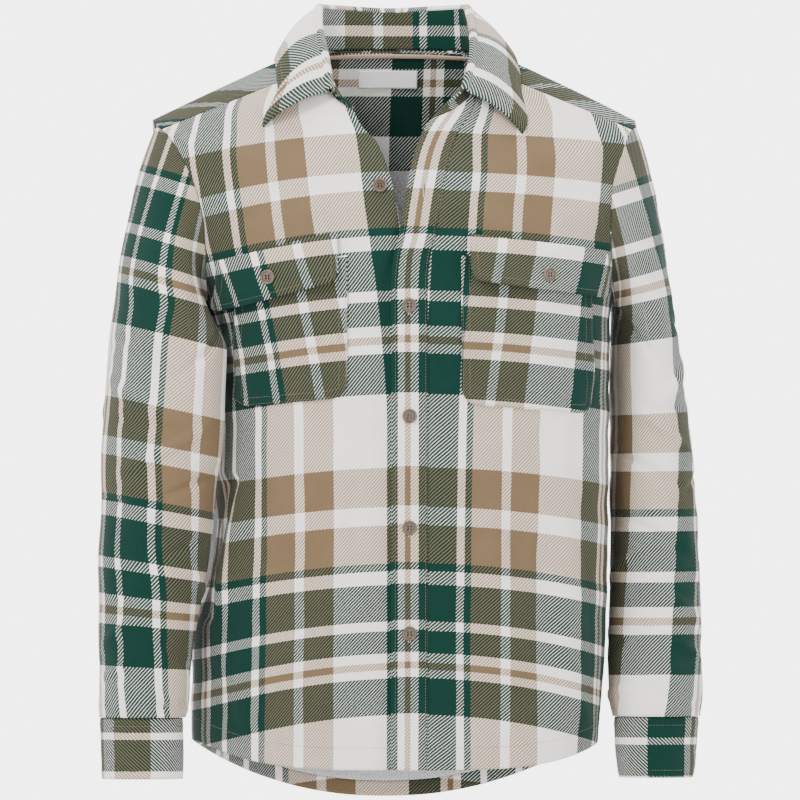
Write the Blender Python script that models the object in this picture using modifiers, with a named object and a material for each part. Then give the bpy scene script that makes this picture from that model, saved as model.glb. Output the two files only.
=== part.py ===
# A plaid flannel shirt jacket, filled out as if worn, with nobody inside it.
# Metres, +Z up. The front faces -Y and the wearer's left is +X.
# The origin is between the shoulders, at the base of the neck.

import bisect
from math import cos, degrees, hypot, pi, radians, sin, sqrt

import bmesh
import bpy
from mathutils import Vector

# Cloth and seams
CLOTH = 0.0025            # lined flannel wall
LEAF = 0.0025             # folded collar cloth
LINING = 0.0014
POCKET = 0.0015
FLAP = 0.0022
GAP = 0.0003              # between neighbouring pieces
LAYER = 0.0009            # between cloths that lie on each other

# Levels named by the height of the side of the body
HEM_LEVEL = -0.651
UNDERARM = -0.225
SHOULDER = -0.044
NECK = 0.024
YOKE_SEAM_STEP = 7        # of the armhole's steps, counted from the underarm
ARMHOLE_STEPS = 10
SQUARENESS = 0.15         # how far the rings depart from an ellipse

# The body's rings: height at the side, front and back, half widths and depths
BODY_RINGS = [
    # level  front   back    right   left    front_y  back_y
    (-0.760, -0.760, -0.760, 0.1920, 0.1900, -0.128, 0.130),
    (-0.650, -0.650, -0.650, 0.1990, 0.1970, -0.136, 0.132),
    (-0.560, -0.560, -0.560, 0.1950, 0.2040, -0.138, 0.128),
    (-0.460, -0.460, -0.460, 0.1810, 0.2070, -0.138, 0.122),
    (-0.360, -0.360, -0.360, 0.1755, 0.2078, -0.139, 0.120),
    (-0.270, -0.272, -0.270, 0.1780, 0.2085, -0.139, 0.124),
    (-0.225, -0.230, -0.225, 0.1880, 0.2100, -0.137, 0.127),
    (-0.190, -0.205, -0.192, 0.2030, 0.2180, -0.135, 0.128),
    (-0.120, -0.152, -0.127, 0.2255, 0.2320, -0.125, 0.124),
    (-0.060, -0.107, -0.072, 0.2390, 0.2370, -0.111, 0.114),
    (-0.044, -0.097, -0.056, 0.2400, 0.2345, -0.107, 0.110),
    (-0.0245, -0.084, -0.036, 0.1990, 0.1950, -0.099, 0.103),
    (-0.005, -0.070, -0.015, 0.1570, 0.1540, -0.091, 0.094),
    (0.010, -0.058, 0.008, 0.1240, 0.1215, -0.085, 0.084),
    (0.024, -0.047, 0.026, 0.0890, 0.0870, -0.080, 0.074),
]
SHOULDER_ROW = 10

# The armhole: how far it reaches round the body, and the seam over the shoulder
ARMHOLE_FRONT = radians(24)
ARMHOLE_BACK = radians(28)
SHOULDER_SEAM = radians(74)
NECK_SEAM = radians(68)

# The front edges, as the distance from the centre by height
BAND_EDGE = [
    (-0.720, -0.0175),
    (-0.210, -0.0175),
    (-0.181, -0.0150),
    (-0.160, -0.0094),
    (-0.125, -0.0030),
    (-0.082, 0.0071),
    (-0.057, 0.0175),
    (-0.030, 0.0347),
    (0.000, 0.0400),
]
BAND_WIDTH = 0.0355
RIGHT_EDGE = [
    (-0.720, 0.0150),
    (-0.205, 0.0150),
    (-0.172, 0.0040),
    (-0.146, -0.0075),
    (-0.120, -0.0115),
    (-0.093, -0.0177),
    (-0.068, -0.0268),
    (-0.049, -0.0430),
    (-0.030, -0.0500),
    (0.000, -0.0540),
]
BAND_LIFT = 0.0010        # the band stands this much above the left front
BAND_CLOTH = 0.0030
UNDERLAP = 0.0026         # the right front dips this far under the band
UNDERLAP_START = 0.021    # and starts to dip this far before its edge

# The hem, a shirt tail that is longer at the back
FRONT_HEM = -0.679
BACK_HEM = -0.709
HEM_WIDTH = 0.2
HEM_FACING = 0.015

# Sleeves: rings down the arm, from just under the armhole to the cuff
RIGHT_SLEEVE = [
    # height  centre_x centre_y half_width half_depth slant
    (-0.270, -0.2295, -0.056, 0.0570, 0.063, -0.006),
    (-0.360, -0.2350, -0.058, 0.0585, 0.062, -0.006),
    (-0.420, -0.2412, -0.058, 0.0548, 0.058, -0.005),
    (-0.466, -0.2450, -0.055, 0.0543, 0.055, -0.004),
    (-0.533, -0.2518, -0.058, 0.0482, 0.052, 0.000),
    (-0.576, -0.2545, -0.060, 0.0448, 0.049, 0.000),
    (-0.606, -0.2545, -0.063, 0.0445, 0.047, 0.000),
    (-0.628, -0.2550, -0.065, 0.0425, 0.043, 0.000),
]
LEFT_SLEEVE = [
    (-0.270, 0.2450, 0.016, 0.0325, 0.070, 0.004),
    (-0.360, 0.2515, 0.018, 0.0390, 0.068, 0.004),
    (-0.420, 0.2535, 0.014, 0.0415, 0.064, 0.003),
    (-0.466, 0.2545, 0.008, 0.0432, 0.060, 0.002),
    (-0.533, 0.2540, -0.002, 0.0450, 0.054, 0.000),
    (-0.576, 0.2524, -0.012, 0.0462, 0.050, 0.000),
    (-0.606, 0.2526, -0.020, 0.0455, 0.047, 0.000),
    (-0.628, 0.2527, -0.026, 0.0430, 0.043, 0.000),
]
CUFF_TOP = -0.6283
CUFF_BOTTOM = -0.688
RIGHT_CUFF = [
    # height centre_x centre_y half_width half_depth slant
    (-0.6283, -0.2553, -0.065, 0.0412, 0.0415, 0.0),
    (-0.655, -0.2553, -0.068, 0.0403, 0.0405, 0.0),
    (-0.688, -0.2553, -0.071, 0.0401, 0.0400, 0.0),
]
LEFT_CUFF = [
    (-0.6283, 0.2527, -0.026, 0.0418, 0.0415, 0.0),
    (-0.655, 0.2518, -0.029, 0.0405, 0.0400, 0.0),
    (-0.688, 0.2523, -0.032, 0.0366, 0.0385, 0.0),
]
CUFF_CLOTH = 0.003
CAP_SPLAY_TOP = radians(30)
CAP_SPLAY_UNDER = radians(75)
ARMHOLE_GAP = 0.0007      # round the sleeve's seam
SHOULDER_HALF = 0.2
CAP_SHARE = 0.34          # of the sleeve's rows

# The collar, from the centre back to its front end, on one side
COLLAR = [
    # share ring_angle fold_x fold_y  fold_z  edge_angle edge_level
    (0.00, 180.0, 0.0000, 0.0770, 0.0670, 180.0, 0.0040),
    (0.25, 152.0, 0.0400, 0.0730, 0.0690, 156.0, 0.0060),
    (0.50, 122.0, 0.0725, 0.0460, 0.0705, 128.0, 0.0090),
    (0.68, 96.0, 0.0755, 0.0160, 0.0530, 92.0, 0.0120),
    (0.84, 70.0, 0.0735, -0.0220, 0.0290, 66.0, 0.0080),
]
RIGHT_COLLAR_END = (0.0715, -0.0720, -0.0127)
LEFT_COLLAR_END = (0.0602, -0.0720, -0.0127)
RIGHT_COLLAR_POINT = (-0.1378, -0.0530)     # sideways and up
LEFT_COLLAR_POINT = (0.1162, -0.0598)
COLLAR_ROLL = 0.0045      # radius of the fold
COLLAR_BULGE = 0.27

# Pockets: inner and outer side, top and bottom, and how far they drop outwards
POCKETS = {
    # side: (inner, outer, top, bottom, drop)
    "right": (-0.0600, -0.1650, -0.1780, -0.3160, 0.010),
    "left": (0.0510, 0.1830, -0.1780, -0.3225, 0.010),
}
POCKET_LIFT = {"right": 0.0016, "left": 0.0010}   # below its top row
FLAPS = {
    "right": (-0.0690, -0.1800, -0.1530, -0.2030, 0.0220),
    "left": (0.0600, 0.1960, -0.1570, -0.2030, 0.0150),
}
POCKET_CORNER = 0.016
FLAP_CORNER = 0.009
FLAP_LIFT = {"right": 0.0015, "left": 0.0070}

# Buttons
BUTTON_RADIUS = 0.0072
BUTTON_HEIGHT = 0.0030
BUTTON_RIM = 0.0016
BUTTON_DISH = 0.0007
BAND_BUTTONS = (-0.2264, -0.3342, -0.4430, -0.5459)
NECK_BUTTON = (-0.0265, -0.1098)
FLAP_BUTTON_LIFT = {"right": 0.0002, "left": 0.0007}
FLAP_BUTTONS = {"right": (-0.1385, -0.1965), "left": (0.1370, -0.1950)}

# Inside the back of the neck
LABEL = (-0.0310, 0.0276, 0.0080, -0.0092)  # left, right, top, bottom
LABEL_CLOTH = 0.0006
LABEL_LIFT = 0.0012       # its lower edge is loose
TAPE = 0.006
TAPE_CLOTH = 0.0008
NECK_INSET = 0.0013       # the inner cloths end this far under the neck seam

# Folds that stand out from the body: where each starts and ends, width, height
BODY_FOLDS = [
    # start_x start_z end_x  end_z   width  height
    (-0.150, -0.395, -0.192, -0.560, 0.012, 0.0045),
    (-0.060, -0.360, -0.095, -0.640, 0.022, 0.0030),
    (0.075, -0.380, 0.110, -0.650, 0.024, 0.0035),
    (0.150, -0.350, 0.170, -0.640, 0.020, 0.0030),
    (0.030, -0.120, 0.120, -0.160, 0.016, 0.0015),
]
FOLD_RUN_OUT = 0.35       # of a fold's length, at each end
# Folds round the sleeves: where on the arm, how far round, width, height
SLEEVE_FOLDS = [
    # angle  height  slope   reach   width  height
    (50.0, -0.300, -0.030, 70.0, 0.012, 0.0040),
    (80.0, -0.350, 0.030, 70.0, 0.011, 0.0045),
    (300.0, -0.330, 0.025, 70.0, 0.012, 0.0045),
    (90.0, -0.420, -0.025, 80.0, 0.012, 0.0040),
    (270.0, -0.445, 0.020, 80.0, 0.012, 0.0035),
    (60.0, -0.520, 0.030, 70.0, 0.012, 0.0030),
    (100.0, -0.590, -0.015, 90.0, 0.009, 0.0030),
]

COLOURS = {
    # name: (red, green, blue), roughness
    "flannel": ((0.30, 0.31, 0.26), 0.92),
    "fleece": ((0.36, 0.36, 0.36), 0.95),
    "tape": ((0.52, 0.40, 0.32), 0.85),
    "label": ((0.80, 0.80, 0.77), 0.70),
    "button": ((0.30, 0.23, 0.19), 0.35),
}

for old in list(bpy.data.objects):
    bpy.data.objects.remove(old)

garment = bpy.data.collections.new("Shirt jacket")
bpy.context.scene.collection.children.link(garment)


def material(name):
    found = bpy.data.materials.get(name)
    if found:
        return found
    colour, roughness = COLOURS[name]
    made = bpy.data.materials.new(name)
    made.use_nodes = True
    shader = made.node_tree.nodes["Principled BSDF"]
    shader.inputs["Base Color"].default_value = (*colour, 1.0)
    shader.inputs["Roughness"].default_value = roughness
    shader.inputs["Metallic"].default_value = 0.0
    return made


# Smooth curves through short tables


def curve(xs, ys):
    steps = [(ys[i + 1] - ys[i]) / (xs[i + 1] - xs[i]) for i in range(len(xs) - 1)]
    slopes = [steps[0]]
    for before, after in zip(steps, steps[1:]):
        level = before * after <= 0
        slopes.append(0.0 if level else 2 * before * after / (before + after))
    slopes.append(steps[-1])

    def value(x):
        i = min(max(bisect.bisect_right(xs, x) - 1, 0), len(xs) - 2)
        width = xs[i + 1] - xs[i]
        t = min(max((x - xs[i]) / width, 0.0), 1.0)
        rise = ys[i + 1] - ys[i]
        start = slopes[i] * width
        end = slopes[i + 1] * width
        return ys[i] + t * (start + t * (3 * rise - 2 * start - end + t * (start + end - 2 * rise)))

    return value


def table(rows):
    rows = sorted(rows)
    columns = list(zip(*rows))
    curves = [curve(columns[0], column) for column in columns[1:]]
    return lambda x: [value(x) for value in curves]


def ease(t):
    t = min(max(t, 0.0), 1.0)
    return t * t * (3 - 2 * t)


def solve(function, low, high, steps=34):
    rising = function(high) > function(low)
    for _ in range(steps):
        middle = (low + high) / 2
        if (function(middle) > 0) == rising:
            high = middle
        else:
            low = middle
    return (low + high) / 2


# The body's surface: an angle round it, 0 at the front and 90 at the wearer's
# left, and a level, which is the height at the side


whole_body = table(BODY_RINGS)
below_shoulder = table(BODY_RINGS[:SHOULDER_ROW + 1])
above_shoulder = table(BODY_RINGS[SHOULDER_ROW:])


def smooth_body(angle, level):
    """A point of the body; only its sides turn sharply at the shoulder."""
    rings = above_shoulder if level > SHOULDER else below_shoulder
    sharp = rings(level)
    front_z, back_z, right, left, front_y, back_y = whole_body(level)
    across, along = sin(angle), cos(angle)
    soft_half, sharp_half = (left, sharp[3]) if across > 0 else (right, sharp[2])
    half = sharp_half + (soft_half - sharp_half) * along * along
    depth = -front_y if along > 0 else back_y
    end_z = front_z if along > 0 else back_z
    x = half * across * (1 + SQUARENESS * along * along)
    y = -depth * along * (1 + SQUARENESS * across * across)
    z = level + (end_z - level) * abs(along) ** 1.3
    return Vector((x, y, z))


def ridge(x, z, start_x, start_z, end_x, end_z, width, height):
    run_x, run_z = end_x - start_x, end_z - start_z
    length = hypot(run_x, run_z)
    along = ((x - start_x) * run_x + (z - start_z) * run_z) / length
    aside = ((x - start_x) * run_z - (z - start_z) * run_x) / length
    run_out = FOLD_RUN_OUT * length
    ends = ease(along / run_out) * ease((length - along) / run_out)
    return height * ends * max(0.0, 1 - (aside / width) ** 2) ** 2


def body(angle, level, out=0.0):
    point = smooth_body(angle, level)
    nudge = 0.0004
    side = smooth_body(angle + nudge, level) - smooth_body(angle - nudge, level)
    up = smooth_body(angle, level + nudge) - smooth_body(angle, level - nudge)
    normal = side.cross(up).normalized()
    fold = 0.0
    if cos(angle) > 0 and level < -0.06:
        fold = sum(ridge(point.x, point.z, *row) for row in BODY_FOLDS)
    return point + normal * (out + fold), normal


def spread(angle, level, distance):
    """The angle that moves a point sideways by a distance."""
    nudge = 0.002
    step = (smooth_body(angle + nudge, level) - smooth_body(angle - nudge, level)).length
    return distance * 2 * nudge / step


def on_front(x, z):
    """The angle and level of the point of the front at x and z."""
    def level_at(angle):
        return solve(lambda level: smooth_body(angle, level).z - z, -0.75, NECK)
    angle = solve(lambda a: smooth_body(a, level_at(a)).x - x, -1.5, 1.5, 26)
    return angle, level_at(angle)


def edge_angle(edge, level, aside=0.0):
    """Where a front edge crosses a level."""
    reach = curve([row[0] for row in edge], [row[1] for row in edge])

    def miss(angle):
        point = smooth_body(angle, level)
        return point.x - reach(point.z) - aside
    return solve(miss, -1.2, 1.2)


def armhole(level):
    share = min(max((level - UNDERARM) / (SHOULDER - UNDERARM), 0.0), 1.0)
    bow = 2 * sqrt(share * (1 - share))
    middle = pi / 2 + (SHOULDER_SEAM - pi / 2) * share
    return middle - ARMHOLE_FRONT * bow, middle + ARMHOLE_BACK * bow


def shoulder_seam(level):
    share = (level - SHOULDER) / (NECK - SHOULDER)
    return SHOULDER_SEAM + (NECK_SEAM - SHOULDER_SEAM) * share


def hem_level(angle):
    x = abs(smooth_body(angle, HEM_LEVEL).x)
    side = HEM_LEVEL
    if cos(angle) > 0:
        return FRONT_HEM + (side - FRONT_HEM) * min(x / HEM_WIDTH, 1.0) ** 4
    return BACK_HEM + (side - BACK_HEM) * min(x / HEM_WIDTH, 1.0) ** 2.2


armhole_levels = [
    UNDERARM + (SHOULDER - UNDERARM) * (1 - cos(pi * step / ARMHOLE_STEPS)) / 2
    for step in range(ARMHOLE_STEPS + 1)
]
SIDE_LEVELS = [-0.600, -0.540, -0.480, -0.420, -0.365, -0.315, -0.275, -0.248]
NECK_LEVELS = [-0.030, -0.012, 0.006, NECK - GAP]
YOKE_SEAM = armhole_levels[YOKE_SEAM_STEP]


def hem_rows(angle, top):
    hem = hem_level(angle)
    return [hem, (hem + top) / 2]


# A cloth wall: a grid of points laid on a surface, its inner side one
# thickness in, and its two rims joined


def wall(name, columns, rows, place, cloth, finish, tube=False):
    mesh = bmesh.new()
    sides = []
    for depth in (0.0, cloth):
        made = bmesh.ops.create_grid(mesh, x_segments=columns, y_segments=rows, size=0.5)
        for vertex in made["verts"]:
            column = round((vertex.co.x + 0.5) * columns)
            row = round((vertex.co.y + 0.5) * rows)
            point, normal = place(column, row)
            vertex.co = point - normal * depth
        sides.append(made["verts"])
    if tube:
        bmesh.ops.remove_doubles(mesh, verts=mesh.verts, dist=0.00001)
    inner = set(sides[1])
    inner_faces = [f for f in mesh.faces if f.verts[0] in inner]
    bmesh.ops.reverse_faces(mesh, faces=inner_faces)
    rims = [e for e in mesh.edges if e.is_boundary]
    if tube:
        loops = edge_loops(rims)
        loops.sort(key=lambda loop: sum(v.co.z for e in loop for v in e.verts) / len(loop))
        bmesh.ops.bridge_loops(mesh, edges=loops[0] + loops[1])
        bmesh.ops.bridge_loops(mesh, edges=loops[2] + loops[3])
    else:
        bmesh.ops.bridge_loops(mesh, edges=rims)
    bmesh.ops.triangulate(mesh, faces=mesh.faces)
    bmesh.ops.recalc_face_normals(mesh, faces=mesh.faces)
    return add(name, mesh, finish)


def edge_loops(edges):
    left = set(edges)
    loops = []
    while left:
        loop = [left.pop()]
        growing = True
        while growing:
            near = {v for e in loop for v in e.verts}
            found = [e for e in left if e.verts[0] in near or e.verts[1] in near]
            left.difference_update(found)
            loop.extend(found)
            growing = bool(found)
        loops.append(loop)
    return loops


def add(name, mesh, finish):
    data = bpy.data.meshes.new(name)
    mesh.to_mesh(data)
    mesh.free()
    data.shade_smooth()
    data.set_sharp_from_angle(angle=radians(50))
    data.materials.append(material(finish))
    made = bpy.data.objects.new(name, data)
    garment.objects.link(made)
    return made


# Fronts


def underlap(angle, level):
    """How far the right front lies under the band."""
    point = smooth_body(angle, level)
    reach = curve([row[0] for row in BAND_EDGE], [row[1] for row in BAND_EDGE])
    return UNDERLAP * ease((point.x - reach(point.z) + UNDERLAP_START) / (UNDERLAP_START - 0.001))


def front(name, side):
    levels = SIDE_LEVELS + armhole_levels + NECK_LEVELS
    columns = 12

    def place(column, row):
        share = column / columns
        if row < 2:
            level = SIDE_LEVELS[0]
        else:
            level = levels[row - 2]
        if side > 0:
            inner = edge_angle(BAND_EDGE, level, BAND_WIDTH + GAP)
        else:
            inner = edge_angle(RIGHT_EDGE, level)
        if level <= SHOULDER:
            outer = armhole(level)[0]
        else:
            outer = shoulder_seam(level)
        outer = side * (outer - spread(outer, level, GAP / 2))
        low, high = (inner, outer) if side > 0 else (outer, inner)
        angle = low + (high - low) * share
        if row < 2:
            level = hem_rows(angle, SIDE_LEVELS[0])[row]
        out = -underlap(angle, level) if side < 0 else 0.0
        return body(angle, level, out)

    return wall(name, columns, len(levels) + 1, place, CLOTH, "flannel")


def band():
    levels = SIDE_LEVELS + armhole_levels + NECK_LEVELS
    columns = 3

    def place(column, row):
        level = SIDE_LEVELS[0] if row < 2 else levels[row - 2]
        angle = edge_angle(BAND_EDGE, level, BAND_WIDTH * column / columns)
        if row < 2:
            level = hem_rows(angle, SIDE_LEVELS[0])[row]
        return body(angle, level, BAND_LIFT)

    return wall("front_band", columns, len(levels) + 1, place, BAND_CLOTH, "flannel")


# Back, yoke and what is sewn inside them


def back_panel(name, start, levels, columns, out, cloth, finish, lift=0.0):
    """A panel across the back, from one side or armhole to the other."""
    hem_count = 2 if start == "hem" else 0

    def place(column, row):
        level = levels[0] if row < hem_count else levels[row - hem_count]
        if level <= SHOULDER:
            edge = armhole(level)[1]
        else:
            edge = shoulder_seam(level)
        left = edge + spread(edge, level, GAP / 2)
        right = 2 * pi - edge - spread(2 * pi - edge, level, GAP / 2)
        angle = left + (right - left) * column / columns
        if row < hem_count:
            hem = hem_level(angle) + lift
            level = (hem, (hem + levels[0]) / 2)[row]
        return body(angle, level, out)

    rows = len(levels) + hem_count - 1
    return wall(name, columns, rows, place, cloth, finish)


def back():
    levels = SIDE_LEVELS + armhole_levels[:YOKE_SEAM_STEP] + [YOKE_SEAM - GAP / 2]
    return back_panel("back", "hem", levels, 20, 0.0, CLOTH, "flannel")


def yoke():
    levels = [YOKE_SEAM + GAP / 2] + armhole_levels[YOKE_SEAM_STEP + 1:] + NECK_LEVELS
    return back_panel("yoke", "seam", levels, 24, 0.0, CLOTH, "flannel")


INSIDE = -(CLOTH + LAYER)


def inner_yoke():
    levels = [YOKE_SEAM + GAP / 2] + armhole_levels[YOKE_SEAM_STEP + 1:] + NECK_LEVELS[:-1]
    levels.append(NECK - NECK_INSET)
    return back_panel("inner_yoke", "seam", levels, 24, INSIDE, LINING, "flannel")


def back_lining():
    levels = SIDE_LEVELS + armhole_levels[:YOKE_SEAM_STEP]
    levels.append(YOKE_SEAM - GAP / 2)
    return back_panel(
        "back_lining", "hem", levels, 20, INSIDE, LINING, "fleece", HEM_FACING + GAP
    )


def hem_facing():
    columns = 20

    def place(column, row):
        left = armhole(HEM_LEVEL)[1] + spread(pi / 2, HEM_LEVEL, GAP / 2)
        angle = left + (2 * pi - 2 * left) * column / columns
        return body(angle, hem_level(angle) + 0.0005 + (HEM_FACING - 0.0005) * row, INSIDE)

    return wall("hem_facing", columns, 1, place, LINING, "flannel")


def neck_tape():
    columns = 12
    reach = radians(62)

    def place(column, row):
        angle = pi - reach + 2 * reach * column / columns
        level = NECK - NECK_INSET - TAPE * (1 - row) / 2
        return body(angle, level, INSIDE - LINING - LAYER)

    return wall("neck_tape", columns, 1, place, TAPE_CLOTH, "tape")


def label():
    left, right, top, bottom = LABEL
    columns, rows = 6, 2

    def place(column, row):
        x = right + (left - right) * column / columns
        z = bottom + (top - bottom) * row / rows

        def level_at(angle):
            return solve(lambda level: smooth_body(angle, level).z - z, SHOULDER, NECK)
        angle = solve(lambda a: smooth_body(a, level_at(a)).x - x, pi - 1.0, pi + 1.0, 26)
        lift = LABEL_LIFT * (1 - row / rows)
        return body(angle, level_at(angle), INSIDE - LINING - LAYER - lift)

    return wall("neck_label", columns, rows, place, LABEL_CLOTH, "label")


# Sleeves and cuffs


def ring_point(rings, height, turn, side):
    centre_x, centre_y, half_width, half_depth, slant = rings(height)
    x = centre_x + side * (half_width * cos(turn) + slant * sin(turn))
    return Vector((x, centre_y - half_depth * sin(turn), height))


def armhole_point(turn, side):
    """A point just inside the armhole: 0 at the top, a quarter turn at the front."""
    inset = ARMHOLE_GAP / (SHOULDER - UNDERARM)
    share = (1 + cos(turn)) / 2
    seam_level = UNDERARM + (SHOULDER - UNDERARM) * share
    level = UNDERARM + (SHOULDER - UNDERARM) * (share * (1 - 2 * inset) + inset)
    reach = ARMHOLE_FRONT if turn < pi else ARMHOLE_BACK
    middle = pi / 2 + (SHOULDER_SEAM - pi / 2) * share
    angle = middle - sin(turn) * (reach - ARMHOLE_GAP / SHOULDER_HALF)
    return body(side * angle, level)[0], body(side * angle, seam_level)[1]


def sleeve_surface(rings, side, top_height, end_height):
    def fold(turn, height):
        total = 0.0
        for centre, at, slope, reach, width, rise in SLEEVE_FOLDS:
            away = (degrees(turn) - centre + 180) % 360 - 180
            if side < 0:
                at = at - 0.018
            if abs(away) < reach:
                line = at + slope * away / 60.0
                total += rise * cos(pi / 2 * away / reach) ** 2 * max(
                    0.0, 1 - ((height - line) / width) ** 2) ** 2
        return total

    def smooth(turn, share):
        turn = turn % (2 * pi)
        if share >= CAP_SHARE:
            height = top_height + (end_height - top_height) * (share - CAP_SHARE) / (1 - CAP_SHARE)
            return ring_point(rings, height, turn, side)
        start, normal = armhole_point(turn, side)
        end = ring_point(rings, top_height, turn, side)
        t = share / CAP_SHARE
        splay = CAP_SPLAY_TOP + (CAP_SPLAY_UNDER - CAP_SPLAY_TOP) * (1 - cos(turn)) / 2
        length = (end - start).length
        first = Vector((side * sin(splay), 0, -cos(splay))) * length * (0.7 + 0.3 * cos(turn))
        last = Vector((0, 0, -1)) * length
        if cos(turn) < -0.2:
            last = last * 0.8
        a = 2 * t ** 3 - 3 * t ** 2 + 1
        b = t ** 3 - 2 * t ** 2 + t
        c = -2 * t ** 3 + 3 * t ** 2
        d = t ** 3 - t ** 2
        return start * a + first * b + end * c + last * d

    def surface(turn, share):
        point = smooth(turn, share)
        nudge = 0.0005
        low, high = max(share - nudge, 0.0), min(share + nudge, 1.0)
        round_arm = smooth(turn + nudge, share) - smooth(turn - nudge, share)
        down = smooth(turn, high) - smooth(turn, low)
        normal = (round_arm.cross(down) * side).normalized()
        if share < 0.001:
            seam_normal = armhole_point(turn % (2 * pi), side)[1]
            weight = ease((cos(turn) + 0.25) / 0.6)
            normal = (seam_normal * weight + normal * (1 - weight)).normalized()
        return point + normal * fold(turn, point.z), normal

    return surface


def sleeve(name, rows_table, side):
    around, down = 2 * ARMHOLE_STEPS, 17
    surface = sleeve_surface(table(rows_table), side, rows_table[0][0], rows_table[-1][0])

    def place(column, row):
        turn = -side * 2 * pi * column / around
        return surface(turn % (2 * pi), 1 - row / down)

    return wall(name, around, down, place, CLOTH, "flannel", tube=True)


def cuff(name, rows_table, side):
    around, down = 20, 2
    rings = table(rows_table)

    def place(column, row):
        turn = -side * 2 * pi * column / around
        height = CUFF_BOTTOM + (CUFF_TOP - GAP - CUFF_BOTTOM) * row / down
        point = ring_point(rings, height, turn, side)
        centre = Vector((rings(height)[0], rings(height)[1], height))
        away = point - centre
        normal = Vector((away.x / rings(height)[2] ** 2, away.y / rings(height)[3] ** 2, 0))
        return point, normal.normalized()

    return wall(name, around, down, place, CUFF_CLOTH, "flannel", tube=True)


# Collar


def collar_table():
    """The collar all the way round: -1 at its right end, 0 at the back, 1 at the left."""
    rows = []
    for share, ring, x, y, z, edge, level in COLLAR:
        rows.append((share, radians(ring), x, y, z, radians(edge), level))
        if share > 0:
            rows.append((-share, 2 * pi - radians(ring), -x, y, z, 2 * pi - radians(edge), level))
    for side, end, point, edge in (
        (-1, RIGHT_COLLAR_END, RIGHT_COLLAR_POINT, RIGHT_EDGE),
        (1, LEFT_COLLAR_END, LEFT_COLLAR_POINT, BAND_EDGE),
    ):
        ring = edge_angle(edge, NECK)
        tip_angle, tip_level = on_front(*point)
        if side < 0:
            ring, tip_angle = 2 * pi + ring, 2 * pi + tip_angle
        rows.append((side, ring, side * end[0], end[1], end[2], tip_angle, tip_level))
    return table(rows)


collar_at = collar_table()


def collar_frame(share):
    ring, x, y, z, angle, level = collar_at(share)
    neck = body(ring, NECK)[0] + Vector((0, 0, GAP))
    fold = Vector((x, y, z - COLLAR_ROLL))
    edge, bulge = body(angle, level, LEAF + LAYER)
    out = edge - fold
    out.z = 0
    return neck, fold, edge, out.normalized(), bulge


def collar_stand():
    columns, rows = 26, 2

    def place(column, row):
        share = 1 - 2 * column / columns
        neck, fold, edge, out, bulge = collar_frame(share)
        top = fold - out * (COLLAR_ROLL - CLOTH - 0.0006) - Vector((0, 0, GAP))
        point = neck.lerp(top, row / rows)
        return point, out

    return wall("collar_stand", columns, rows, place, CLOTH, "flannel")


def collar_leaf():
    columns = 26
    roll_steps, fall_steps = 3, 4
    rows = roll_steps + fall_steps

    def profile(share, t):
        neck, fold, edge, out, bulge = collar_frame(share)
        up = Vector((0, 0, 1))
        if t <= 1:
            turn = pi * (1 - t)
            return fold + (out * cos(turn) + up * sin(turn)) * COLLAR_ROLL
        start = fold + out * COLLAR_ROLL
        reach = (edge - start).length
        middle = start.lerp(edge, 0.5) + bulge * COLLAR_BULGE * reach
        s = t - 1
        return start * (1 - s) ** 2 + middle * 2 * s * (1 - s) + edge * s * s

    def place(column, row):
        share = 1 - 2 * column / columns
        step = rows - row
        t = step / roll_steps if step <= roll_steps else 1 + (step - roll_steps) / fall_steps
        nudge = 0.001
        along = profile(share, min(t + nudge, 2)) - profile(share, max(t - nudge, 0))
        out = collar_frame(share)[3]
        normal = Vector((0, 0, 1)) * along.dot(out) - out * along.z
        return profile(share, t), normal.normalized()

    return wall("collar_leaf", columns, rows, place, LEAF, "flannel")


# Pockets and flaps


def patch(name, spec, columns, rows, corner, offset, cloth, lift=0.0, side=1):
    """A patch on the front, with its lower corners rounded and its top row on the front."""
    inner, outer, top, bottom, drop = spec

    def place(column, row):
        across = column / columns if side > 0 else 1 - column / columns
        height = row / rows
        low = 0.0
        width = abs(outer - inner)
        near = min(across, 1 - across) * width
        if near < corner:
            low = corner * (1 - sqrt(1 - (1 - near / corner) ** 2))
        z = bottom + low + (top - bottom - low) * height
        x = inner + (outer - inner) * across
        angle, level = on_front(x, z - drop * across)
        raised = lift * (1 - height) * (1 - across) ** 2
        dip = underlap(angle, level) if side < 0 else 0.0
        under = LAYER if row == rows else offset
        return body(angle, level, under + cloth + raised - dip)

    return wall(name, columns, rows, place, cloth, "flannel")


def pockets():
    for side, sign in (("right", -1), ("left", 1)):
        under = POCKET_LIFT[side]
        patch(side + "_pocket", POCKETS[side], 8, 8, POCKET_CORNER, under, POCKET, side=sign)
        patch(side + "_pocket_flap", FLAPS[side], 8, 3, FLAP_CORNER, under + POCKET + LAYER, FLAP,
              FLAP_LIFT[side], sign)


# Buttons: turned, with a raised rim round a shallow dish


def button(name, point, normal):
    radius, height = BUTTON_RADIUS, BUTTON_HEIGHT
    inner = radius - BUTTON_RIM
    profile = [
        (0.0, height - BUTTON_DISH),
        (inner * 0.8, height - BUTTON_DISH),
        (inner, height - 0.0002),
        (radius - 0.0006, height),
        (radius, height - 0.0009),
        (radius - 0.0008, 0.0),
        (0.0, 0.0),
    ]
    data = bpy.data.meshes.new(name)
    data.from_pydata([(x, 0, z) for x, z in profile],
                     [(i, i + 1) for i in range(len(profile) - 1)], [])
    data.materials.append(material("button"))
    made = bpy.data.objects.new(name, data)
    turned = made.modifiers.new("Turn", "SCREW")
    turned.steps = turned.render_steps = 16
    turned.use_merge_vertices = True
    turned.merge_threshold = 0.00001
    turned.use_smooth_shade = True
    made.location = point
    made.rotation_mode = "QUATERNION"
    made.rotation_quaternion = normal.to_track_quat("Z", "Y")
    garment.objects.link(made)
    return made


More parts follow.
